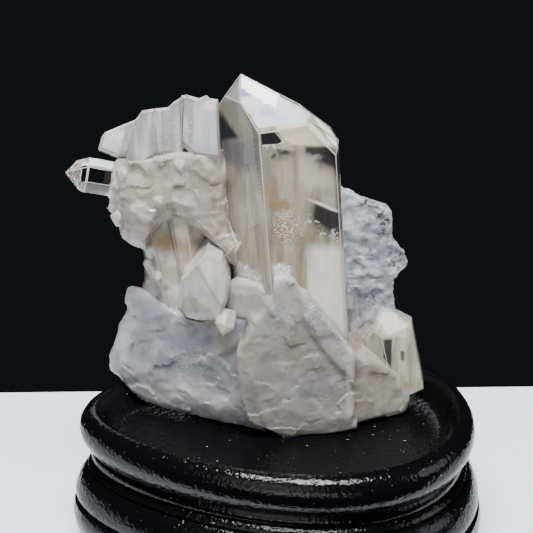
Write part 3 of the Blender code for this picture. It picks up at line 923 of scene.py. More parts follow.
print("small crystals:", len(CLEAR_CRYSTALS) + len(CLOUDED_CRYSTALS))

# %% [markdown]
# ## Broken, massive quartz
# Between the crystals the quartz is massive and broken. Broken quartz has shallow facets that meet in
# sharp ridges. Each mass starts as a flat outline that is drawn back in layers, is then given an even
# fine mesh, and is chiselled: planes laid against its surface shave the high spots off.

# %% Tools for broken quartz


def spaced_points(points, spacing, seed):
    """A seeded choice of points that are no closer to each other than the spacing."""
    rng = np.random.default_rng(seed)
    taken = {}
    chosen = []
    for index in rng.permutation(len(points)):
        cell = tuple(np.floor(points[index] / spacing).astype(int))
        near = [
            other
            for x in (-1, 0, 1)
            for y in (-1, 0, 1)
            for z in (-1, 0, 1)
            for other in taken.get((cell[0] + x, cell[1] + y, cell[2] + z), ())
        ]
        if all(np.sum((points[index] - points[other]) ** 2) > spacing * spacing for other in near):
            taken.setdefault(cell, []).append(index)
            chosen.append(index)
    return chosen, rng


def chisel(piece, facet, tilt, depth, seed):
    """Shaves the surface with planes that lie against it, a facet's width apart and slightly tilted."""
    mesh = piece.data
    count = len(mesh.vertices)
    places = np.empty(count * 3)
    mesh.vertices.foreach_get("co", places)
    places = places.reshape(-1, 3)
    normals = np.array([tuple(normal.vector) for normal in mesh.vertex_normals])
    chosen, rng = spaced_points(places, facet * MM, seed)
    tree = kdtree.KDTree(len(chosen))
    for number, index in enumerate(chosen):
        tree.insert(places[index], number)
    tree.balance()
    directions = normals[chosen] + tilt * rng.standard_normal((len(chosen), 3))
    directions /= np.linalg.norm(directions, axis=1)[:, None]
    starts = places[chosen] - directions * (rng.random(len(chosen)) * 0.5 * depth * MM)[:, None]
    moves = np.zeros(count)
    for index in range(count):
        lowest = 0.0
        for _, number, _ in tree.find_n(places[index], 3):
            facing = directions[number] @ normals[index]
            if facing > 0.35:
                over = (starts[number] - places[index]) @ directions[number] / facing
                lowest = min(lowest, over)
        moves[index] = max(lowest, -depth * MM)
    places += normals * moves[:, None]
    mesh.vertices.foreach_set("co", places.ravel())
    mesh.update()


def draw_back(name, depth, slant, outline, layers):
    """The outline, standing across the view, drawn back in layers down the grain."""
    grain = Vector((0.0, math.cos(VIEW_DOWN), -math.sin(VIEW_DOWN)))
    points = [Vector((x, depth + slant * x, z)) * MM for x, z in outline]
    middle = sum(points, Vector()) / len(points)
    select_nothing()
    bpy.ops.mesh.primitive_circle_add(vertices=len(points), radius=0.02, fill_type="NGON", location=middle)
    piece = bpy.context.object
    piece.name = name
    settle(piece)
    behind, size, lift = layers[0]
    centre = middle + grain * behind * MM + Vector((0.0, 0.0, lift * MM))
    for vertex, point in zip(piece.data.vertices, points):
        vertex.co = centre + (point - middle) * size
    bpy.ops.object.mode_set(mode="EDIT")
    bpy.ops.mesh.select_mode(type="FACE")
    bpy.ops.mesh.select_all(action="SELECT")
    for next_behind, next_size, next_lift in layers[1:]:
        step = grain * (next_behind - behind) * MM + Vector((0.0, 0.0, (next_lift - lift) * MM))
        bpy.ops.mesh.extrude_region_move(TRANSFORM_OT_translate={"value": step})
        centre = centre + step
        share = next_size / size
        bpy.ops.transform.resize(value=(share, share, share), center_override=centre)
        behind, size, lift = next_behind, next_size, next_lift
    bpy.ops.mesh.select_all(action="SELECT")
    bpy.ops.mesh.normals_make_consistent(inside=False)
    bpy.ops.object.mode_set(mode="OBJECT")
    return piece


def cut_flat(piece, cuts):
    """Cuts the piece flat at each plane, given by a point in mm and the way the new face looks."""
    take(piece)
    bpy.ops.object.mode_set(mode="EDIT")
    for point, outwards in cuts:
        bpy.ops.mesh.select_all(action="SELECT")
        bpy.ops.mesh.bisect(
            plane_co=Vector(point) * MM,
            plane_no=Vector(outwards).normalized(),
            use_fill=True,
            clear_outer=True,
        )
    bpy.ops.object.mode_set(mode="OBJECT")


def even_mesh(piece, cell):
    remesh = piece.modifiers.new("even mesh", "REMESH")
    remesh.mode = "VOXEL"
    remesh.voxel_size = cell * MM
    apply_modifiers(piece)


def swell(piece, amount, size, kind="CLOUDS"):
    """Moves the surface in and out by a soft noise."""
    texture = bpy.data.textures.new(piece.name + "_swell", kind)
    texture.noise_scale = size * MM
    if kind == "CLOUDS":
        texture.noise_depth = 3
    displace = piece.modifiers.new("swell", "DISPLACE")
    displace.texture = texture
    displace.texture_coords = "LOCAL"
    displace.strength = amount * MM
    displace.mid_level = 0.5
    apply_modifiers(piece)


def broken_mass(name, form, cell=0.6, waves=(1.2, 9.0), facets=(), seed=1, rounding=0, grown_on=()):
    """A broken mass, from its drawn outline to its chiselled surface. What has grown on it shares its skin."""
    piece = draw_back(name, *form)
    for number, (other_form, cuts) in enumerate(grown_on):
        other = draw_back(name + "_more_" + str(number), *other_form)
        cut_flat(other, cuts)
        take(piece)
        other.select_set(True)
        bpy.ops.object.join()
    even_mesh(piece, cell)
    if rounding:
        soften = piece.modifiers.new("soften", "SMOOTH")
        soften.iterations = rounding
        apply_modifiers(piece)
    swell(piece, *waves)
    for number, (facet, tilt, depth) in enumerate(facets):
        chisel(piece, facet, tilt, depth, seed + 10 * number)
    take(piece)
    bpy.ops.object.shade_smooth_by_angle(angle=math.radians(24.0))
    print(name, len(piece.data.polygons), "faces")
    return piece


# %% [markdown]
# ## The masses at the foot
# Three masses carry the cluster: a large one at the front, a rounded bluish one at the left, and a
# brownish one at the right. Their outlines are those seen from the front.

# %% Masses at the foot
MASSES = {
    "base_front": (
        -7.0,
        0.15,
        (
            (-9.7, 72.3), (-9.5, 64.0), (-8.7, 55.5), (-5.4, 46.4), (-3.2, 42.4), (0.8, 40.2), (4.2, 39.4),
            (8.8, 39.4), (10.6, 39.4), (15.6, 39.4), (23.9, 40.3), (23.3, 50.6), (23.0, 59.2),
            (22.1, 61.7), (17.3, 68.2), (12.9, 74.9), (9.1, 81.1), (5.9, 85.8),
            (1.8, 84.0), (-3.8, 82.5), (-7.1, 80.2), (-8.8, 76.5),
        ),
        ((-1.2, 0.82, 0.0), (-0.5, 0.96, 0.0), (0.0, 1.0, 0.0), (13.0, 1.0, 4.0), (26.0, 0.9, 14.0)),
    ),
    "base_left": (
        -6.0,
        -0.38,
        (
            (-33.9, 78.2), (-36.2, 80.4), (-39.2, 81.4), (-42.4, 81.8), (-44.0, 79.9), (-44.8, 75.2),
            (-44.7, 71.5), (-47.0, 67.1), (-47.8, 64.1), (-49.1, 61.4), (-51.3, 56.5), (-51.7, 52.0),
            (-50.8, 49.6), (-48.7, 48.3), (-46.6, 46.3), (-44.9, 43.8), (-42.0, 41.2), (-37.9, 40.2),
            (-29.2, 39.8), (-14.0, 39.6), (-2.7, 39.6), (-5.6, 47.3), (-8.8, 55.2), (-8.8, 68.6),
            (-7.8, 78.0), (-14.9, 77.4), (-27.0, 76.0),
        ),
        ((-3.0, 0.66, 0.5), (-1.6, 0.9, 0.0), (0.0, 1.0, 0.0), (5.0, 0.82, 3.0), (12.0, 0.58, 7.0)),
    ),
    "base_right": (
        -8.0,
        0.35,
        (
            (20.0, 66.6), (27.6, 61.8), (35.7, 55.1), (40.1, 45.7), (40.0, 43.6), (39.2, 41.0), (37.8, 39.8),
            (31.9, 39.6), (27.5, 39.8), (26.0, 39.5), (18.3, 39.5),
        ),
        ((-1.6, 0.82, 0.0), (-0.8, 0.95, 0.0), (0.0, 1.0, 0.0), (9.0, 0.97, 5.0), (17.0, 0.78, 12.0)),
    ),
}
# %% What has grown on the front mass
# Each form: its depth and slant in mm, its outline, its layers, and then the cuts that slope its top back
GROWN_ON_FRONT = (
    (
        (
            -9.2,
            -0.6,
            ((-13.6, 87.5), (-11.1, 89.3), (-8.5, 89.5), (-6.0, 90.0), (-4.1, 89.7), (-2.7, 87.3), (-1.3, 84.6), (-0.5, 81.7), (-4.4, 78.1), (-8.9, 77.1), (-12.9, 76.4), (-15.2, 78.2), (-14.8, 83.9)),
            ((-0.8, 0.84, 0.0), (0.0, 1.0, 0.0), (5.0, 1.0, 2.0)),
        ),
        (),
    ),
    (
        (
            -7.9,
            0.2,
            ((-1.3, 93.3), (0.9, 93.5), (3.6, 93.4), (5.3, 92.2), (6.2, 89.0), (7.6, 85.3), (8.8, 81.7), (7.7, 77.3), (3.5, 76.5), (-1.0, 78.6), (-1.6, 86.7)),
            ((-0.4, 0.88, 0.0), (0.0, 1.0, 0.0), (5.0, 1.0, 2.0)),
        ),
        (((2.3, -8.1, 92.6), (0.05, -0.7, 0.7)),),
    ),
    (
        (
            -8.2,
            0.15,
            ((6.1, 89.3), (7.8, 88.6), (10.7, 84.8), (14.7, 78.7), (19.1, 71.7), (22.4, 66.8), (23.1, 55.5), (18.9, 59.7), (13.5, 66.9), (8.9, 74.3), (6.0, 81.4)),
            ((-0.8, 0.8, 0.0), (0.0, 1.0, 0.0), (6.0, 1.0, 2.0)),
        ),
        (((13.8, -8.6, 78.0), (0.6, -0.6, 0.5)),),
    ),
    (
        (
            -6.8,
            0.1,
            ((-10.6, 72.3), (-9.7, 70.3), (-8.7, 62.9), (-7.6, 54.3), (-4.4, 46.8), (-2.1, 42.1), (-6.2, 43.1), (-9.1, 46.4), (-10.7, 53.5), (-11.3, 63.7), (-11.4, 70.4)),
            ((-0.6, 0.8, 0.0), (0.0, 1.0, 0.0), (6.0, 1.0, 2.0)),
        ),
        (),
    ),
)
FRONT_MARKS = (
    pane_mark((0.74, 0.73, 0.71), ((-14.2, 77.9), (-4.3, 77.9), (0.3, 67.8), (-14.2, 67.8)), 2.0, 0.6),
    pane_mark((0.74, 0.73, 0.71), ((-2.1, 79.3), (6.3, 79.3), (9.3, 68.9), (-1.0, 66.7)), 1.5, 0.6),
    pane_mark((0.72, 0.70, 0.68), ((6.1, 74.9), (21.7, 58.5), (21.7, 49.8), (6.6, 67.8)), 1.2, 0.7),
    round_mark((0.96, 0.96, 0.96), (0.9, 77.9), (4.0, 2.0), 0.8, 2.0, 0.8),
    pane_mark((0.30, 0.27, 0.24), ((7.2, 71.1), (21.7, 53.3), (21.7, 51.7), (6.9, 69.2)), 0.5, 0.7, 0.6),
    pane_mark((0.34, 0.30, 0.27), ((8.5, 71.9), (21.7, 56.3), (21.7, 55.0), (8.0, 70.8)), 0.4, 0.6, 0.6),
    pane_mark((0.97, 0.97, 0.97), ((6.6, 74.9), (21.7, 58.2), (21.7, 56.3), (6.9, 72.5)), 0.5, 0.9, 0.7),
    pane_mark((0.97, 0.97, 0.97), ((7.7, 70.3), (19.7, 55.8), (19.7, 54.1), (7.7, 68.6)), 0.4, 0.9, 0.5),
    round_mark((0.92, 0.92, 0.92), (2.2, 68.6), (5.0, 7.0), 0.9, 2.0, 0.75, 0.5),
    pane_mark((0.62, 0.54, 0.46), ((3.9, 74.4), (6.9, 72.7), (7.2, 68.4), (3.9, 70.0)), 1.0, 0.5),
    round_mark((0.40, 0.30, 0.17), (-12.3, 63.7), (3.0, 4.0), 0.9, 2.0, 0.8),
    round_mark((0.46, 0.46, 0.50), (8.7, 47.8), (9.0, 7.0), 0.9, 4.0, 0.6),
    round_mark((0.24, 0.25, 0.30), (9.5, 45.4), (4.4, 2.6), 0.9, 3.0, 0.8),
    round_mark((0.36, 0.26, 0.17), (3.3, 60.1), (3.4, 2.6), 0.9, 3.0, 0.75),
    round_mark((0.44, 0.34, 0.24), (6.8, 56.0), (3.6, 2.2), 0.9, 3.0, 0.55),
    round_mark((0.52, 0.53, 0.56), (-4.3, 64.7), (4.0, 3.0), 0.9, 3.0, 0.5),
    round_mark((0.66, 0.58, 0.42), (-8.4, 59.2), (2.4, 7.0), 0.9, 3.0, 0.5),
    pane_mark((0.84, 0.83, 0.80), ((19.6, 58.7), (21.5, 58.7), (22.0, 38.1), (20.1, 38.1)), 0.5, 0.6),
    round_mark((0.84, 0.83, 0.80), (1.6, 54.4), (6.0, 1.0), 0.9, 3.0, 0.7),
    round_mark((0.88, 0.87, 0.85), (12.8, 43.5), (5.0, 4.0), 0.9, 3.0, 0.7, 0.5),
    round_mark((0.86, 0.85, 0.83), (1.9, 60.6), (8.0, 6.0), 0.9, 3.0, 0.55, 0.4),
)
LEFT_MARKS = (
    round_mark((0.34, 0.36, 0.44), (-30.3, 59.1), (6.0, 5.0), 0.9, 4.0, 0.6),
    round_mark((0.36, 0.38, 0.46), (-35.0, 66.7), (5.0, 4.0), 0.9, 4.0, 0.5),
    round_mark((0.34, 0.34, 0.38), (-15.3, 47.6), (4.5, 5.0), 0.9, 4.0, 0.65),
    round_mark((0.44, 0.43, 0.44), (-19.9, 55.8), (5.0, 5.0), 0.9, 4.0, 0.5),
    round_mark((0.68, 0.62, 0.49), (-15.3, 60.2), (5.0, 5.0), 0.9, 4.0, 0.6),
    round_mark((0.42, 0.32, 0.18), (-11.4, 60.4), (2.0, 4.0), 0.9, 2.0, 0.7),
    round_mark((0.42, 0.32, 0.18), (-18.8, 65.1), (3.0, 1.4), 0.9, 2.0, 0.7),
    # The pale marks along the bottom are painted light: they lighten the lower half, which faces down and gets less
    # light
    round_mark((0.92, 0.92, 0.93), (-28.0, 44.0), (22.0, 7.0), 0.9, 3.0, 0.75),
    round_mark((0.90, 0.90, 0.90), (-42.6, 50.9), (8.0, 4.0), 0.9, 3.0, 0.6),
    round_mark((0.92, 0.90, 0.86), (-29.5, 44.3), (10.0, 3.5), 0.9, 3.0, 0.6),
    round_mark((0.92, 0.90, 0.84), (-15.3, 39.9), (8.0, 3.0), 0.9, 3.0, 0.6),
    round_mark((0.76, 0.78, 0.82), (-45.4, 57.7), (2.6, 8.0), 0.9, 3.0, 0.6),
    round_mark((0.90, 0.90, 0.92), (-25.4, 53.0), (12.0, 9.0), 0.9, 3.0, 0.7, 0.45),
    round_mark((0.90, 0.90, 0.92), (-37.7, 60.4), (8.0, 10.0), 0.9, 3.0, 0.5, 0.35),
)
RIGHT_MARKS = (
    round_mark((0.36, 0.24, 0.15), (23.0, 59.1), (3.0, 4.0), 0.9, 3.0, 0.6),
    round_mark((0.34, 0.27, 0.20), (23.6, 50.9), (3.0, 3.0), 0.9, 3.0, 0.5),
    round_mark((0.80, 0.76, 0.70), (29.3, 46.8), (6.0, 4.0), 0.9, 3.0, 0.6, 0.5),
)
LEFT_BREAK = {"waves": (1.1, 10.0), "facets": ((6.0, 0.12, 0.5), (2.4, 0.22, 0.18))}
SMOOTH_BREAK = {"waves": (0.7, 14.0), "facets": ((7.0, 0.1, 0.35), (2.4, 0.18, 0.12))}
dress(
    broken_mass("base_front", MASSES["base_front"], 0.45, seed=3, rounding=8, grown_on=GROWN_ON_FRONT, **SMOOTH_BREAK),
    milky_finish("base_front", (0.60, 0.57, 0.52), (0.42, 0.39, 0.36), FRONT_MARKS, 7.0, 0.28, 0.1, 0.2),
)
dress(
    broken_mass("base_left", MASSES["base_left"], seed=4, rounding=8, **LEFT_BREAK),
    milky_finish("base_left", (0.57, 0.58, 0.62), (0.40, 0.41, 0.46), LEFT_MARKS, 6.0, 0.3, 0.1, 0.35),
)
dress(
    broken_mass("base_right", MASSES["base_right"], seed=5, rounding=4, **SMOOTH_BREAK),
    milky_finish("base_right", (0.66, 0.61, 0.55), (0.46, 0.40, 0.35), RIGHT_MARKS, 6.0, 0.32, 0.1, 0.4),
)

# %% [markdown]
# ## The heart, the crowns and the slab
# Above the foot the left half is a beige mass under two blocky, frosted crystals that end level with the
# tall crystal's shoulder. On the right a thin bluish slab with a speckled, jagged edge stands behind.

# %% Heart, crowns and slab
UPPER_MASSES = {
    "heart_upper": (
        4.0,
        0.0,
        (
            (-43.7, 124.0), (-45.0, 121.7), (-46.2, 117.5), (-47.3, 112.1), (-46.1, 110.5), (-47.8, 109.0),
            (-47.2, 107.5), (-45.2, 105.6), (-44.2, 102.2), (-44.2, 99.5), (-41.0, 97.2), (-37.1, 94.4),
            (-35.8, 98.2), (-33.4, 101.6), (-31.1, 104.1), (-27.7, 104.4), (-24.4, 102.8), (-20.8, 100.3),
            (-17.8, 96.9), (-14.5, 92.1), (-11.2, 90.2), (-10.6, 94.4), (-11.7, 96.3), (-12.9, 103.8),
            (-13.2, 107.5), (-13.5, 117.2), (-14.4, 126.7), (-21.1, 125.6), (-27.7, 125.2), (-34.8, 123.6),
            (-39.5, 122.4),
        ),
        ((-6.0, 0.7, 4.4), (-3.5, 0.92, 1.8), (0.0, 1.0, 0.0), (8.0, 0.97, 2.0), (18.0, 0.75, 8.0)),
    ),
    "heart_lower": (
        9.0,
        0.0,
        (
            (-37.5, 92.7), (-39.4, 81.3), (-37.2, 70.3), (-22.8, 61.7), (-10.9, 61.7), (-9.9, 86.9),
            (-14.9, 96.6), (-24.7, 102.3), (-33.1, 102.3),
        ),
        ((-3.0, 0.8, 0.0), (0.0, 1.0, 0.0), (8.0, 1.0, 2.0), (18.0, 0.75, 8.0)),
    ),
    "back_slab": (
        14.0,
        0.0,
        (
            (12.2, 113.0), (16.2, 112.6), (18.1, 111.6), (23.5, 108.5), (26.4, 107.2), (29.4, 106.1),
            (31.0, 105.6), (32.3, 104.1), (32.4, 102.0), (33.0, 99.3), (33.3, 96.1), (34.6, 94.2),
            (36.9, 90.5), (38.2, 87.2), (37.5, 84.4), (35.1, 82.7), (35.0, 81.3), (34.0, 80.1), (34.4, 77.6),
            (35.7, 70.1), (36.7, 58.9), (20.0, 52.0), (12.0, 70.0),
        ),
        ((-6.0, 0.86, 0.0), (-4.0, 0.95, 0.0), (0.0, 1.0, 0.0), (5.0, 0.93, 1.0), (10.0, 0.72, 3.0)),
    ),
    "back_mass": (
        20.0,
        0.0,
        (
            (-34.0, 58.0), (-36.0, 74.0), (-30.0, 92.0), (-22.0, 104.0), (-8.0, 112.0), (8.0, 106.0),
            (20.0, 92.0), (28.0, 74.0), (29.0, 56.0), (22.0, 42.0), (4.0, 39.6), (-18.0, 40.0), (-29.0, 44.0),
        ),
        ((-14.0, 0.8, 0.0), (-4.0, 0.96, 0.0), (2.0, 0.9, 4.0), (6.0, 0.66, 7.0)),
    ),
}
SHARP_BREAK = {"waves": (0.8, 6.0), "facets": ((4.5, 0.35, 1.1), (1.9, 0.3, 0.35))}
HEART_BREAK = {"waves": (0.8, 8.0), "facets": ((4.5, 0.2, 0.5), (2.2, 0.25, 0.15))}
SLAB_BREAK = {"waves": (0.7, 7.0), "facets": ((5.0, 0.15, 0.5), (2.0, 0.35, 0.4))}
HEART_RIDGE = ((-37.7, 96.8), (-34.1, 94.9), (-30.6, 95.4), (-28.7, 93.8), (-22.9, 92.7), (-20.5, 90.0), (-16.1, 86.4), (-13.1, 84.2))
HEART_MARKS = (
    round_mark((0.62, 0.54, 0.50), (-21.3, 98.7), (5.0, 5.0), 0.9, 3.0, 0.6),
    round_mark((0.68, 0.64, 0.54), (-41.8, 108.3), (4.0, 4.0), 0.9, 3.0, 0.6),
    round_mark((0.42, 0.30, 0.19), (-30.9, 90.5), (7.0, 3.6), 0.9, 3.0, 0.65),
    round_mark((0.40, 0.30, 0.20), (-40.4, 96.0), (3.0, 1.5), 0.9, 3.0, 0.5),
    round_mark((0.28, 0.26, 0.28), (-41.3, 94.1), (1.4, 1.2), 0.9, 1.0, 0.8),
    pane_mark(WHITE, ((-33.9, 100.9), (-32.2, 101.2), (-32.0, 99.5), (-33.3, 98.7)), 0.15),
    round_mark(WHITE, (-25.4, 102.8), (12.0, 9.0), 0.9, 3.0, 0.5, 0.4),
)
SLAB_MARKS = (
    round_mark((0.07, 0.09, 0.16), (24.6, 99.7), (8.0, 3.0), 0.9, 3.0, 1.0, 1.1),
    round_mark((0.06, 0.08, 0.14), (29.9, 94.4), (3.6, 8.0), 0.9, 3.0, 1.0, 1.1),
    round_mark((0.06, 0.08, 0.14), (33.8, 84.3), (4.4, 9.0), 0.9, 3.0, 1.0, 1.1),
    round_mark((0.05, 0.06, 0.10), (27.9, 73.3), (6.0, 5.0), 0.9, 3.0, 1.0, 1.5),
    round_mark((0.20, 0.23, 0.32), (28.8, 86.5), (10.0, 14.0), 0.9, 4.0, 0.5, 1.4),
    round_mark((0.30, 0.32, 0.38), (27.0, 73.0), (9.0, 7.0), 0.9, 3.0, 0.55),
    round_mark((0.56, 0.50, 0.44), (26.0, 64.1), (6.0, 5.0), 0.9, 3.0, 0.6),
)
for start, end in zip(HEART_RIDGE, HEART_RIDGE[1:]):
    low = tuple((x, up - 0.9) for x, up in (end, start))
    HEART_MARKS += (pane_mark(WHITE, (start, end) + low, 0.25, 0.9),)
dress(
    broken_mass("heart_upper", UPPER_MASSES["heart_upper"], seed=6, cell=0.45, rounding=3, **HEART_BREAK),
    milky_finish("heart_upper", (0.82, 0.76, 0.69), (0.56, 0.49, 0.42), HEART_MARKS, 4.0, 0.25, 0.1, 0.3),
)
LOW_HEART_MARKS = (round_mark((0.84, 0.84, 0.82), (-35.5, 77.7), (4.0, 9.0), 0.8, 2.0, 0.9),)
dress(
    broken_mass("heart_lower", UPPER_MASSES["heart_lower"], seed=7, **SHARP_BREAK),
    milky_finish("heart_lower", (0.50, 0.42, 0.31), (0.30, 0.20, 0.11), LOW_HEART_MARKS, roughness=0.25, chips=0.15),
)
dress(
    broken_mass("back_slab", UPPER_MASSES["back_slab"], seed=8, cell=0.5, rounding=2, **SLAB_BREAK),
    milky_finish("back_slab", (0.86, 0.88, 0.93), (0.42, 0.45, 0.51), SLAB_MARKS, 4.0, 0.3, 0.1, 0.5),
)
dress(
    broken_mass("back_mass", UPPER_MASSES["back_mass"], seed=9, cell=0.8, **SHARP_BREAK),
    milky_finish("back_mass", (0.66, 0.63, 0.58), (0.46, 0.44, 0.42)),
)

# %% Crowns and the centre stub
CROWNS = {
    "crown_tip": (
        7.0,
        0.0,
        ((-48.8, 124.8), (-47.6, 128.6), (-46.6, 129.9), (-41.4, 132.2), (-37.8, 133.7), (-35.8, 135.3), (-35.7, 132.4), (-38.6, 127.8), (-41.3, 122.7), (-43.7, 122.4)),
        ((-5.0, 0.88, 0.0), (-4.2, 0.97, 0.0), (0.0, 1.0, 0.0), (5.0, 0.9, 0.0), (7.0, 0.6, 0.0)),
    ),
    "crown_left": (
        7.5,
        0.0,
        ((-38.3, 132.8), (-36.1, 135.7), (-32.6, 136.2), (-29.0, 136.6), (-27.2, 138.3), (-25.3, 139.5), (-25.2, 136.0), (-25.3, 122.5), (-28.0, 121.0), (-31.3, 121.6), (-35.1, 120.7), (-37.1, 119.5), (-42.1, 121.0), (-40.3, 127.6)),
        ((-8.0, 0.95, 0.0), (-7.2, 0.985, 0.0), (0.0, 1.0, 0.0), (6.0, 0.94, 0.0), (12.0, 0.7, 0.0)),
    ),
    "crown_right": (
        7.5,
        0.0,
        ((-25.5, 139.6), (-24.0, 139.8), (-20.8, 138.8), (-18.7, 139.7), (-17.9, 138.8), (-15.7, 138.5), (-15.4, 125.2), (-15.2, 120.7), (-22.4, 122.1), (-26.1, 125.7), (-25.5, 136.0)),
        ((-10.0, 0.95, 0.0), (-9.2, 0.985, 0.0), (0.0, 1.0, -0.6), (5.0, 0.94, -0.6), (10.0, 0.75, 0.0)),
    ),
    "centre_stub": (
        -4.0,
        0.0,
        ((-23.7, 94.7), (-26.8, 91.3), (-28.4, 80.2), (-26.0, 76.8), (-22.3, 76.6), (-16.2, 78.2), (-14.0, 83.7), (-13.0, 91.3), (-15.3, 98.2), (-19.1, 100.7)),
        ((-4.5, 0.90, 0.0), (-3.6, 0.97, 0.0), (0.0, 1.0, 0.0), (6.0, 0.98, 2.0), (12.0, 0.9, 6.0)),
    ),
}
# Each cut: a point on it in mm, and the way it faces. What lies outside it goes.
CROWN_CUTS = {
    "crown_left": ((-30.7, 7.5, 130.8), (-0.24, -0.97, 0.0)),
    "centre_stub": ((-19.1, -4.0, 89.1), (-0.42, -0.88, -0.2)),
}
CROWN_MARKS = (
    round_mark((0.95, 0.95, 0.96), (-20.5, 126.3), (7.0, 1.6), 0.8, 2.0, 0.9, 0.7),
    round_mark((0.95, 0.95, 0.96), (-32.2, 123.9), (8.0, 1.2), 0.8, 2.0, 0.7, 0.7),
    round_mark((0.66, 0.63, 0.54), (-19.6, 71.4), (5.0, 3.0), 0.9, 2.0, 0.5),
    pane_mark((0.52, 0.53, 0.52), ((-19.4, 72.2), (-14.2, 74.9), (-13.9, 71.1), (-18.0, 68.9)), 0.4, 0.6),
    round_mark((0.44, 0.31, 0.20), (-15.0, 79.6), (1.6, 4.0), 0.8, 1.5, 0.6),
    pane_mark((0.92, 0.92, 0.92), ((-12.8, 83.1), (-9.5, 83.1), (-5.7, 78.5), (-10.9, 77.4)), 0.3, 0.9),
    # Painted shadow: a brown-grey triangle where a shadow falls
    pane_mark((0.50, 0.42, 0.33), ((-4.3, 82.0), (-1.3, 82.0), (-1.0, 74.9), (-3.2, 76.6)), 0.6, 0.6),
    pane_mark((0.20, 0.20, 0.15), ((-36.1, 111.0), (-32.8, 112.9), (-27.3, 113.2), (-27.6, 112.4), (-32.2, 111.3), (-35.0, 110.2)), 0.3, 0.85),
    pane_mark((0.46, 0.47, 0.50), ((-30.9, 123.3), (-25.9, 124.2), (-26.2, 114.6), (-30.9, 113.2)), 0.4, 0.4),
    pane_mark((0.58, 0.61, 0.68), ((-22.4, 124.2), (-16.1, 123.1), (-15.5, 111.0), (-22.1, 111.9)), 0.5, 0.6),
    pane_mark((0.86, 0.85, 0.80), ((-49.2, 113.5), (-47.0, 118.1), (-39.9, 121.4), (-43.7, 111.6)), 0.8, 0.7),
    pane_mark((0.82, 0.78, 0.68), ((-27.9, 66.7), (-13.1, 66.7), (-12.5, 86.4), (-27.3, 86.4)), 1.0, 0.4),
    round_mark((0.72, 0.68, 0.56), (-25.1, 113.2), (4.0, 3.0), 0.9, 2.0, 0.6),
    pane_mark((0.90, 0.90, 0.88), ((-27.3, 67.8), (-25.1, 67.0), (-16.1, 68.1), (-16.1, 69.5), (-25.1, 68.9)), 0.5, 0.6),
    round_mark((0.36, 0.35, 0.32), (-42.1, 111.6), (1.5, 3.0), 0.7, 1.5, 0.7),
    round_mark(WHITE, (-42.9, 117.6), (2.2, 1.4), 0.4, 1.5, 0.9),
    round_mark((0.90, 0.90, 0.91), (-18.0, 124.2), (2.5, 2.0), 0.7, 1.5, 0.8),
    round_mark((0.88, 0.88, 0.88), (-25.4, 117.9), (14.0, 9.0), 0.9, 3.0, 0.5, 0.5),
)
crown_cloud = inner_cloud_finish("crown_cloud", (0.68, 0.68, 0.67), (0.34, 0.34, 0.345), CROWN_MARKS, 200.0, 200.0)


def inner_form(form, inset):
    """The same drawn form with every face moved inwards by about the inset."""
    depth, slant, outline, layers = form
    across = [x for x, _ in outline]
    upwards = [z for _, z in outline]
    reach = 0.5 * min(max(across) - min(across), max(upwards) - min(upwards))
    share = 1.0 - inset / reach
    drawn = []
    for behind, size, lift in layers:
        inwards = inset if behind < 0.0 else -inset if behind > 0.0 else 0.0
        drawn.append((behind + inwards, size * share, lift))
    return depth, slant, outline, drawn


def blocky_crystal(name, form, cut, inset=0.0):
    """A block with broad flat faces and worn edges, cut once more so that two faces meet at the front."""
    piece = draw_back(name, *(inner_form(form, inset) if inset else form))
    frosted = not inset
    if frosted:
        two_finishes(piece)
    if cut:
        point, outwards = Vector(cut[0]), Vector(cut[1]).normalized()
        front = Vector((0.0, math.cos(VIEW_DOWN), -math.sin(VIEW_DOWN))) * form[3][0][0]
        cut_flat(piece, [(point + front - outwards * inset, outwards)])
    take(piece)
    bpy.ops.object.mode_set(mode="EDIT")
    bpy.ops.mesh.select_all(action="SELECT")
    bpy.ops.mesh.bevel(offset=0.15 * MM, segments=2, affect="EDGES", material=1 if frosted else -1)
    bpy.ops.object.mode_set(mode="OBJECT")
    bpy.ops.object.shade_smooth_by_angle(angle=math.radians(18.0))
    return piece


for name, form in CROWNS.items():
    cut = CROWN_CUTS.get(name)
    dress(blocky_crystal(name, form, cut), clear_quartz)
    dress(blocky_crystal(name + "_cloud", form, cut, 0.5), crown_cloud)
print("crowns and stub:", len(CROWNS))

# %% [markdown]
# ## The stand
# The stand is a turned oval of wood under black lacquer: a dish with a raised lip, a round rim, two thin
# beads, a bulging middle and a foot. A turner's profile is drawn once, spun round, then drawn out.

# %% Stand
STAND_HALF_LENGTH = 58.7
STAND_HALF_WIDTH = 37.5
STAND_PINCH = 0.25
STAND_CENTRE_Z = 39.0
STAND_OUTLINE = (
    (-11.0, 39.0), (-9.4, 39.6), (-7.8, 42.0), (-6.2, 45.0), (-5.0, 46.0), (-3.8, 45.8), (-1.8, 44.6),
    (-0.5, 42.6), (0.0, 40.0), (-0.5, 37.4), (-1.6, 35.0), (-3.0, 33.0), (-4.2, 32.0), (-3.4, 31.2),
    (-3.0, 30.0), (-3.3, 29.0), (-3.9, 28.6), (-2.4, 28.0), (-1.7, 27.0), (-1.9, 26.3), (-2.6, 25.8),
    (-0.8, 25.0), (1.0, 22.6), (2.2, 19.6), (2.6, 17.2), (2.2, 15.6), (1.6, 15.0), (3.0, 14.0),
    (3.7, 11.0), (3.5, 7.4), (2.6, 3.6), (1.4, 1.2), (0.2, 0.0),
)
STAND_STEPS = 180
select_nothing()
bpy.ops.mesh.primitive_plane_add(size=0.001, location=(0.0, 0.0, STAND_CENTRE_Z * MM))
stand = bpy.context.object
stand.name = "lacquered_stand"
settle(stand)
profile = [(0.0, STAND_CENTRE_Z)]
profile += [(STAND_HALF_WIDTH + out, z) for out, z in STAND_OUTLINE]
profile += [(0.0, 0.0)]
bpy.ops.object.mode_set(mode="EDIT")
bpy.ops.mesh.select_mode(type="VERT")
bpy.ops.mesh.select_all(action="SELECT")
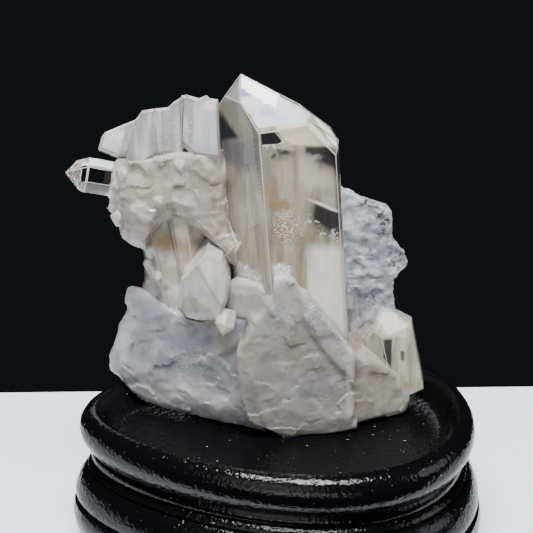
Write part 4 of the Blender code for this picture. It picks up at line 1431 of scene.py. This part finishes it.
bpy.ops.mesh.merge(type="CENTER")
for (from_r, from_z), (to_r, to_z) in zip(profile, profile[1:]):
    step = Vector((to_r - from_r, 0.0, to_z - from_z)) * MM
    bpy.ops.mesh.extrude_region_move(TRANSFORM_OT_translate={"value": step})
bpy.ops.mesh.select_all(action="SELECT")
bpy.ops.mesh.spin(
    steps=STAND_STEPS, angle=math.radians(360.0), center=(0.0, 0.0, 0.0), axis=(0.0, 0.0, 1.0)
)
bpy.ops.mesh.select_all(action="SELECT")
bpy.ops.mesh.remove_doubles(threshold=0.00001)
bpy.ops.mesh.normals_make_consistent(inside=False)
bpy.ops.object.mode_set(mode="OBJECT")
stretch = (STAND_HALF_LENGTH - STAND_HALF_WIDTH) * MM
for vertex in stand.data.vertices:
    radius = math.hypot(vertex.co.x, vertex.co.y)
    if radius > MM:
        along = vertex.co.x / radius
        vertex.co.x = along * (radius + stretch)
        vertex.co.y *= 1.0 + STAND_PINCH * along
bpy.ops.object.shade_smooth_by_angle(angle=math.radians(40.0))

lacquer, tree, shader, place = new_finish("black_lacquer_finish")
orange_peel = node(tree, "ShaderNodeTexNoise", None, {"Vector": place, "Scale": 800.0, "Detail": 2.0})
bump = node(
    tree, "ShaderNodeBump", None, {"Height": orange_peel.outputs["Fac"], "Strength": 0.8, "Distance": 0.00028}
)
for socket in ("Normal", "Coat Normal"):
    tree.links.new(bump.outputs["Normal"], shader.inputs[socket])
dust = group_node(
    tree, cloud_group, {"Vector": place, "Size": 0.9 * MM, "Low": 0.735, "High": 0.77, "Detail": 2.0}
).outputs["Mask"]
black = mix_colour(tree, dust, (0.004, 0.004, 0.005), (0.5, 0.5, 0.5))
tree.links.new(black, shader.inputs["Base Color"])
shader.inputs["Roughness"].default_value = 0.18
shader.inputs["Specular IOR Level"].default_value = 0.04
shader.inputs["Coat Weight"].default_value = 0.45
shader.inputs["Coat Roughness"].default_value = 0.04
dress(stand, lacquer)
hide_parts("display_stand")
print("stand:", len(stand.data.polygons), "faces")

# %% Table finish
table_finish, tree, shader, place = new_finish("table_finish")
paper = group_node(
    tree, relief_group, {"Vector": place, "Chips": 0.0, "Grain": 1.0, "Grain Size": 0.002}
).outputs["Height"]
bump = node(tree, "ShaderNodeBump", None, {"Height": paper, "Strength": 0.1, "Distance": 0.0002})
tree.links.new(bump.outputs["Normal"], shader.inputs["Normal"])
shader.inputs["Base Color"].default_value = (0.92, 0.93, 0.95, 1.0)
shader.inputs["Roughness"].default_value = 0.6
shader.inputs["Emission Color"].default_value = (0.76, 0.88, 1.0, 1.0)
shader.inputs["Emission Strength"].default_value = 1.15
table.data.materials.append(table_finish)

# %% Sizes, and the end
seen_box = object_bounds()
for axis, low, high, cad_low, cad_high in zip("XYZ", *seen_box, *cad_box):
    print(axis, round((low - cad_low) / MM, 2), round((high - cad_high) / MM, 2), "mm past the CAD box")
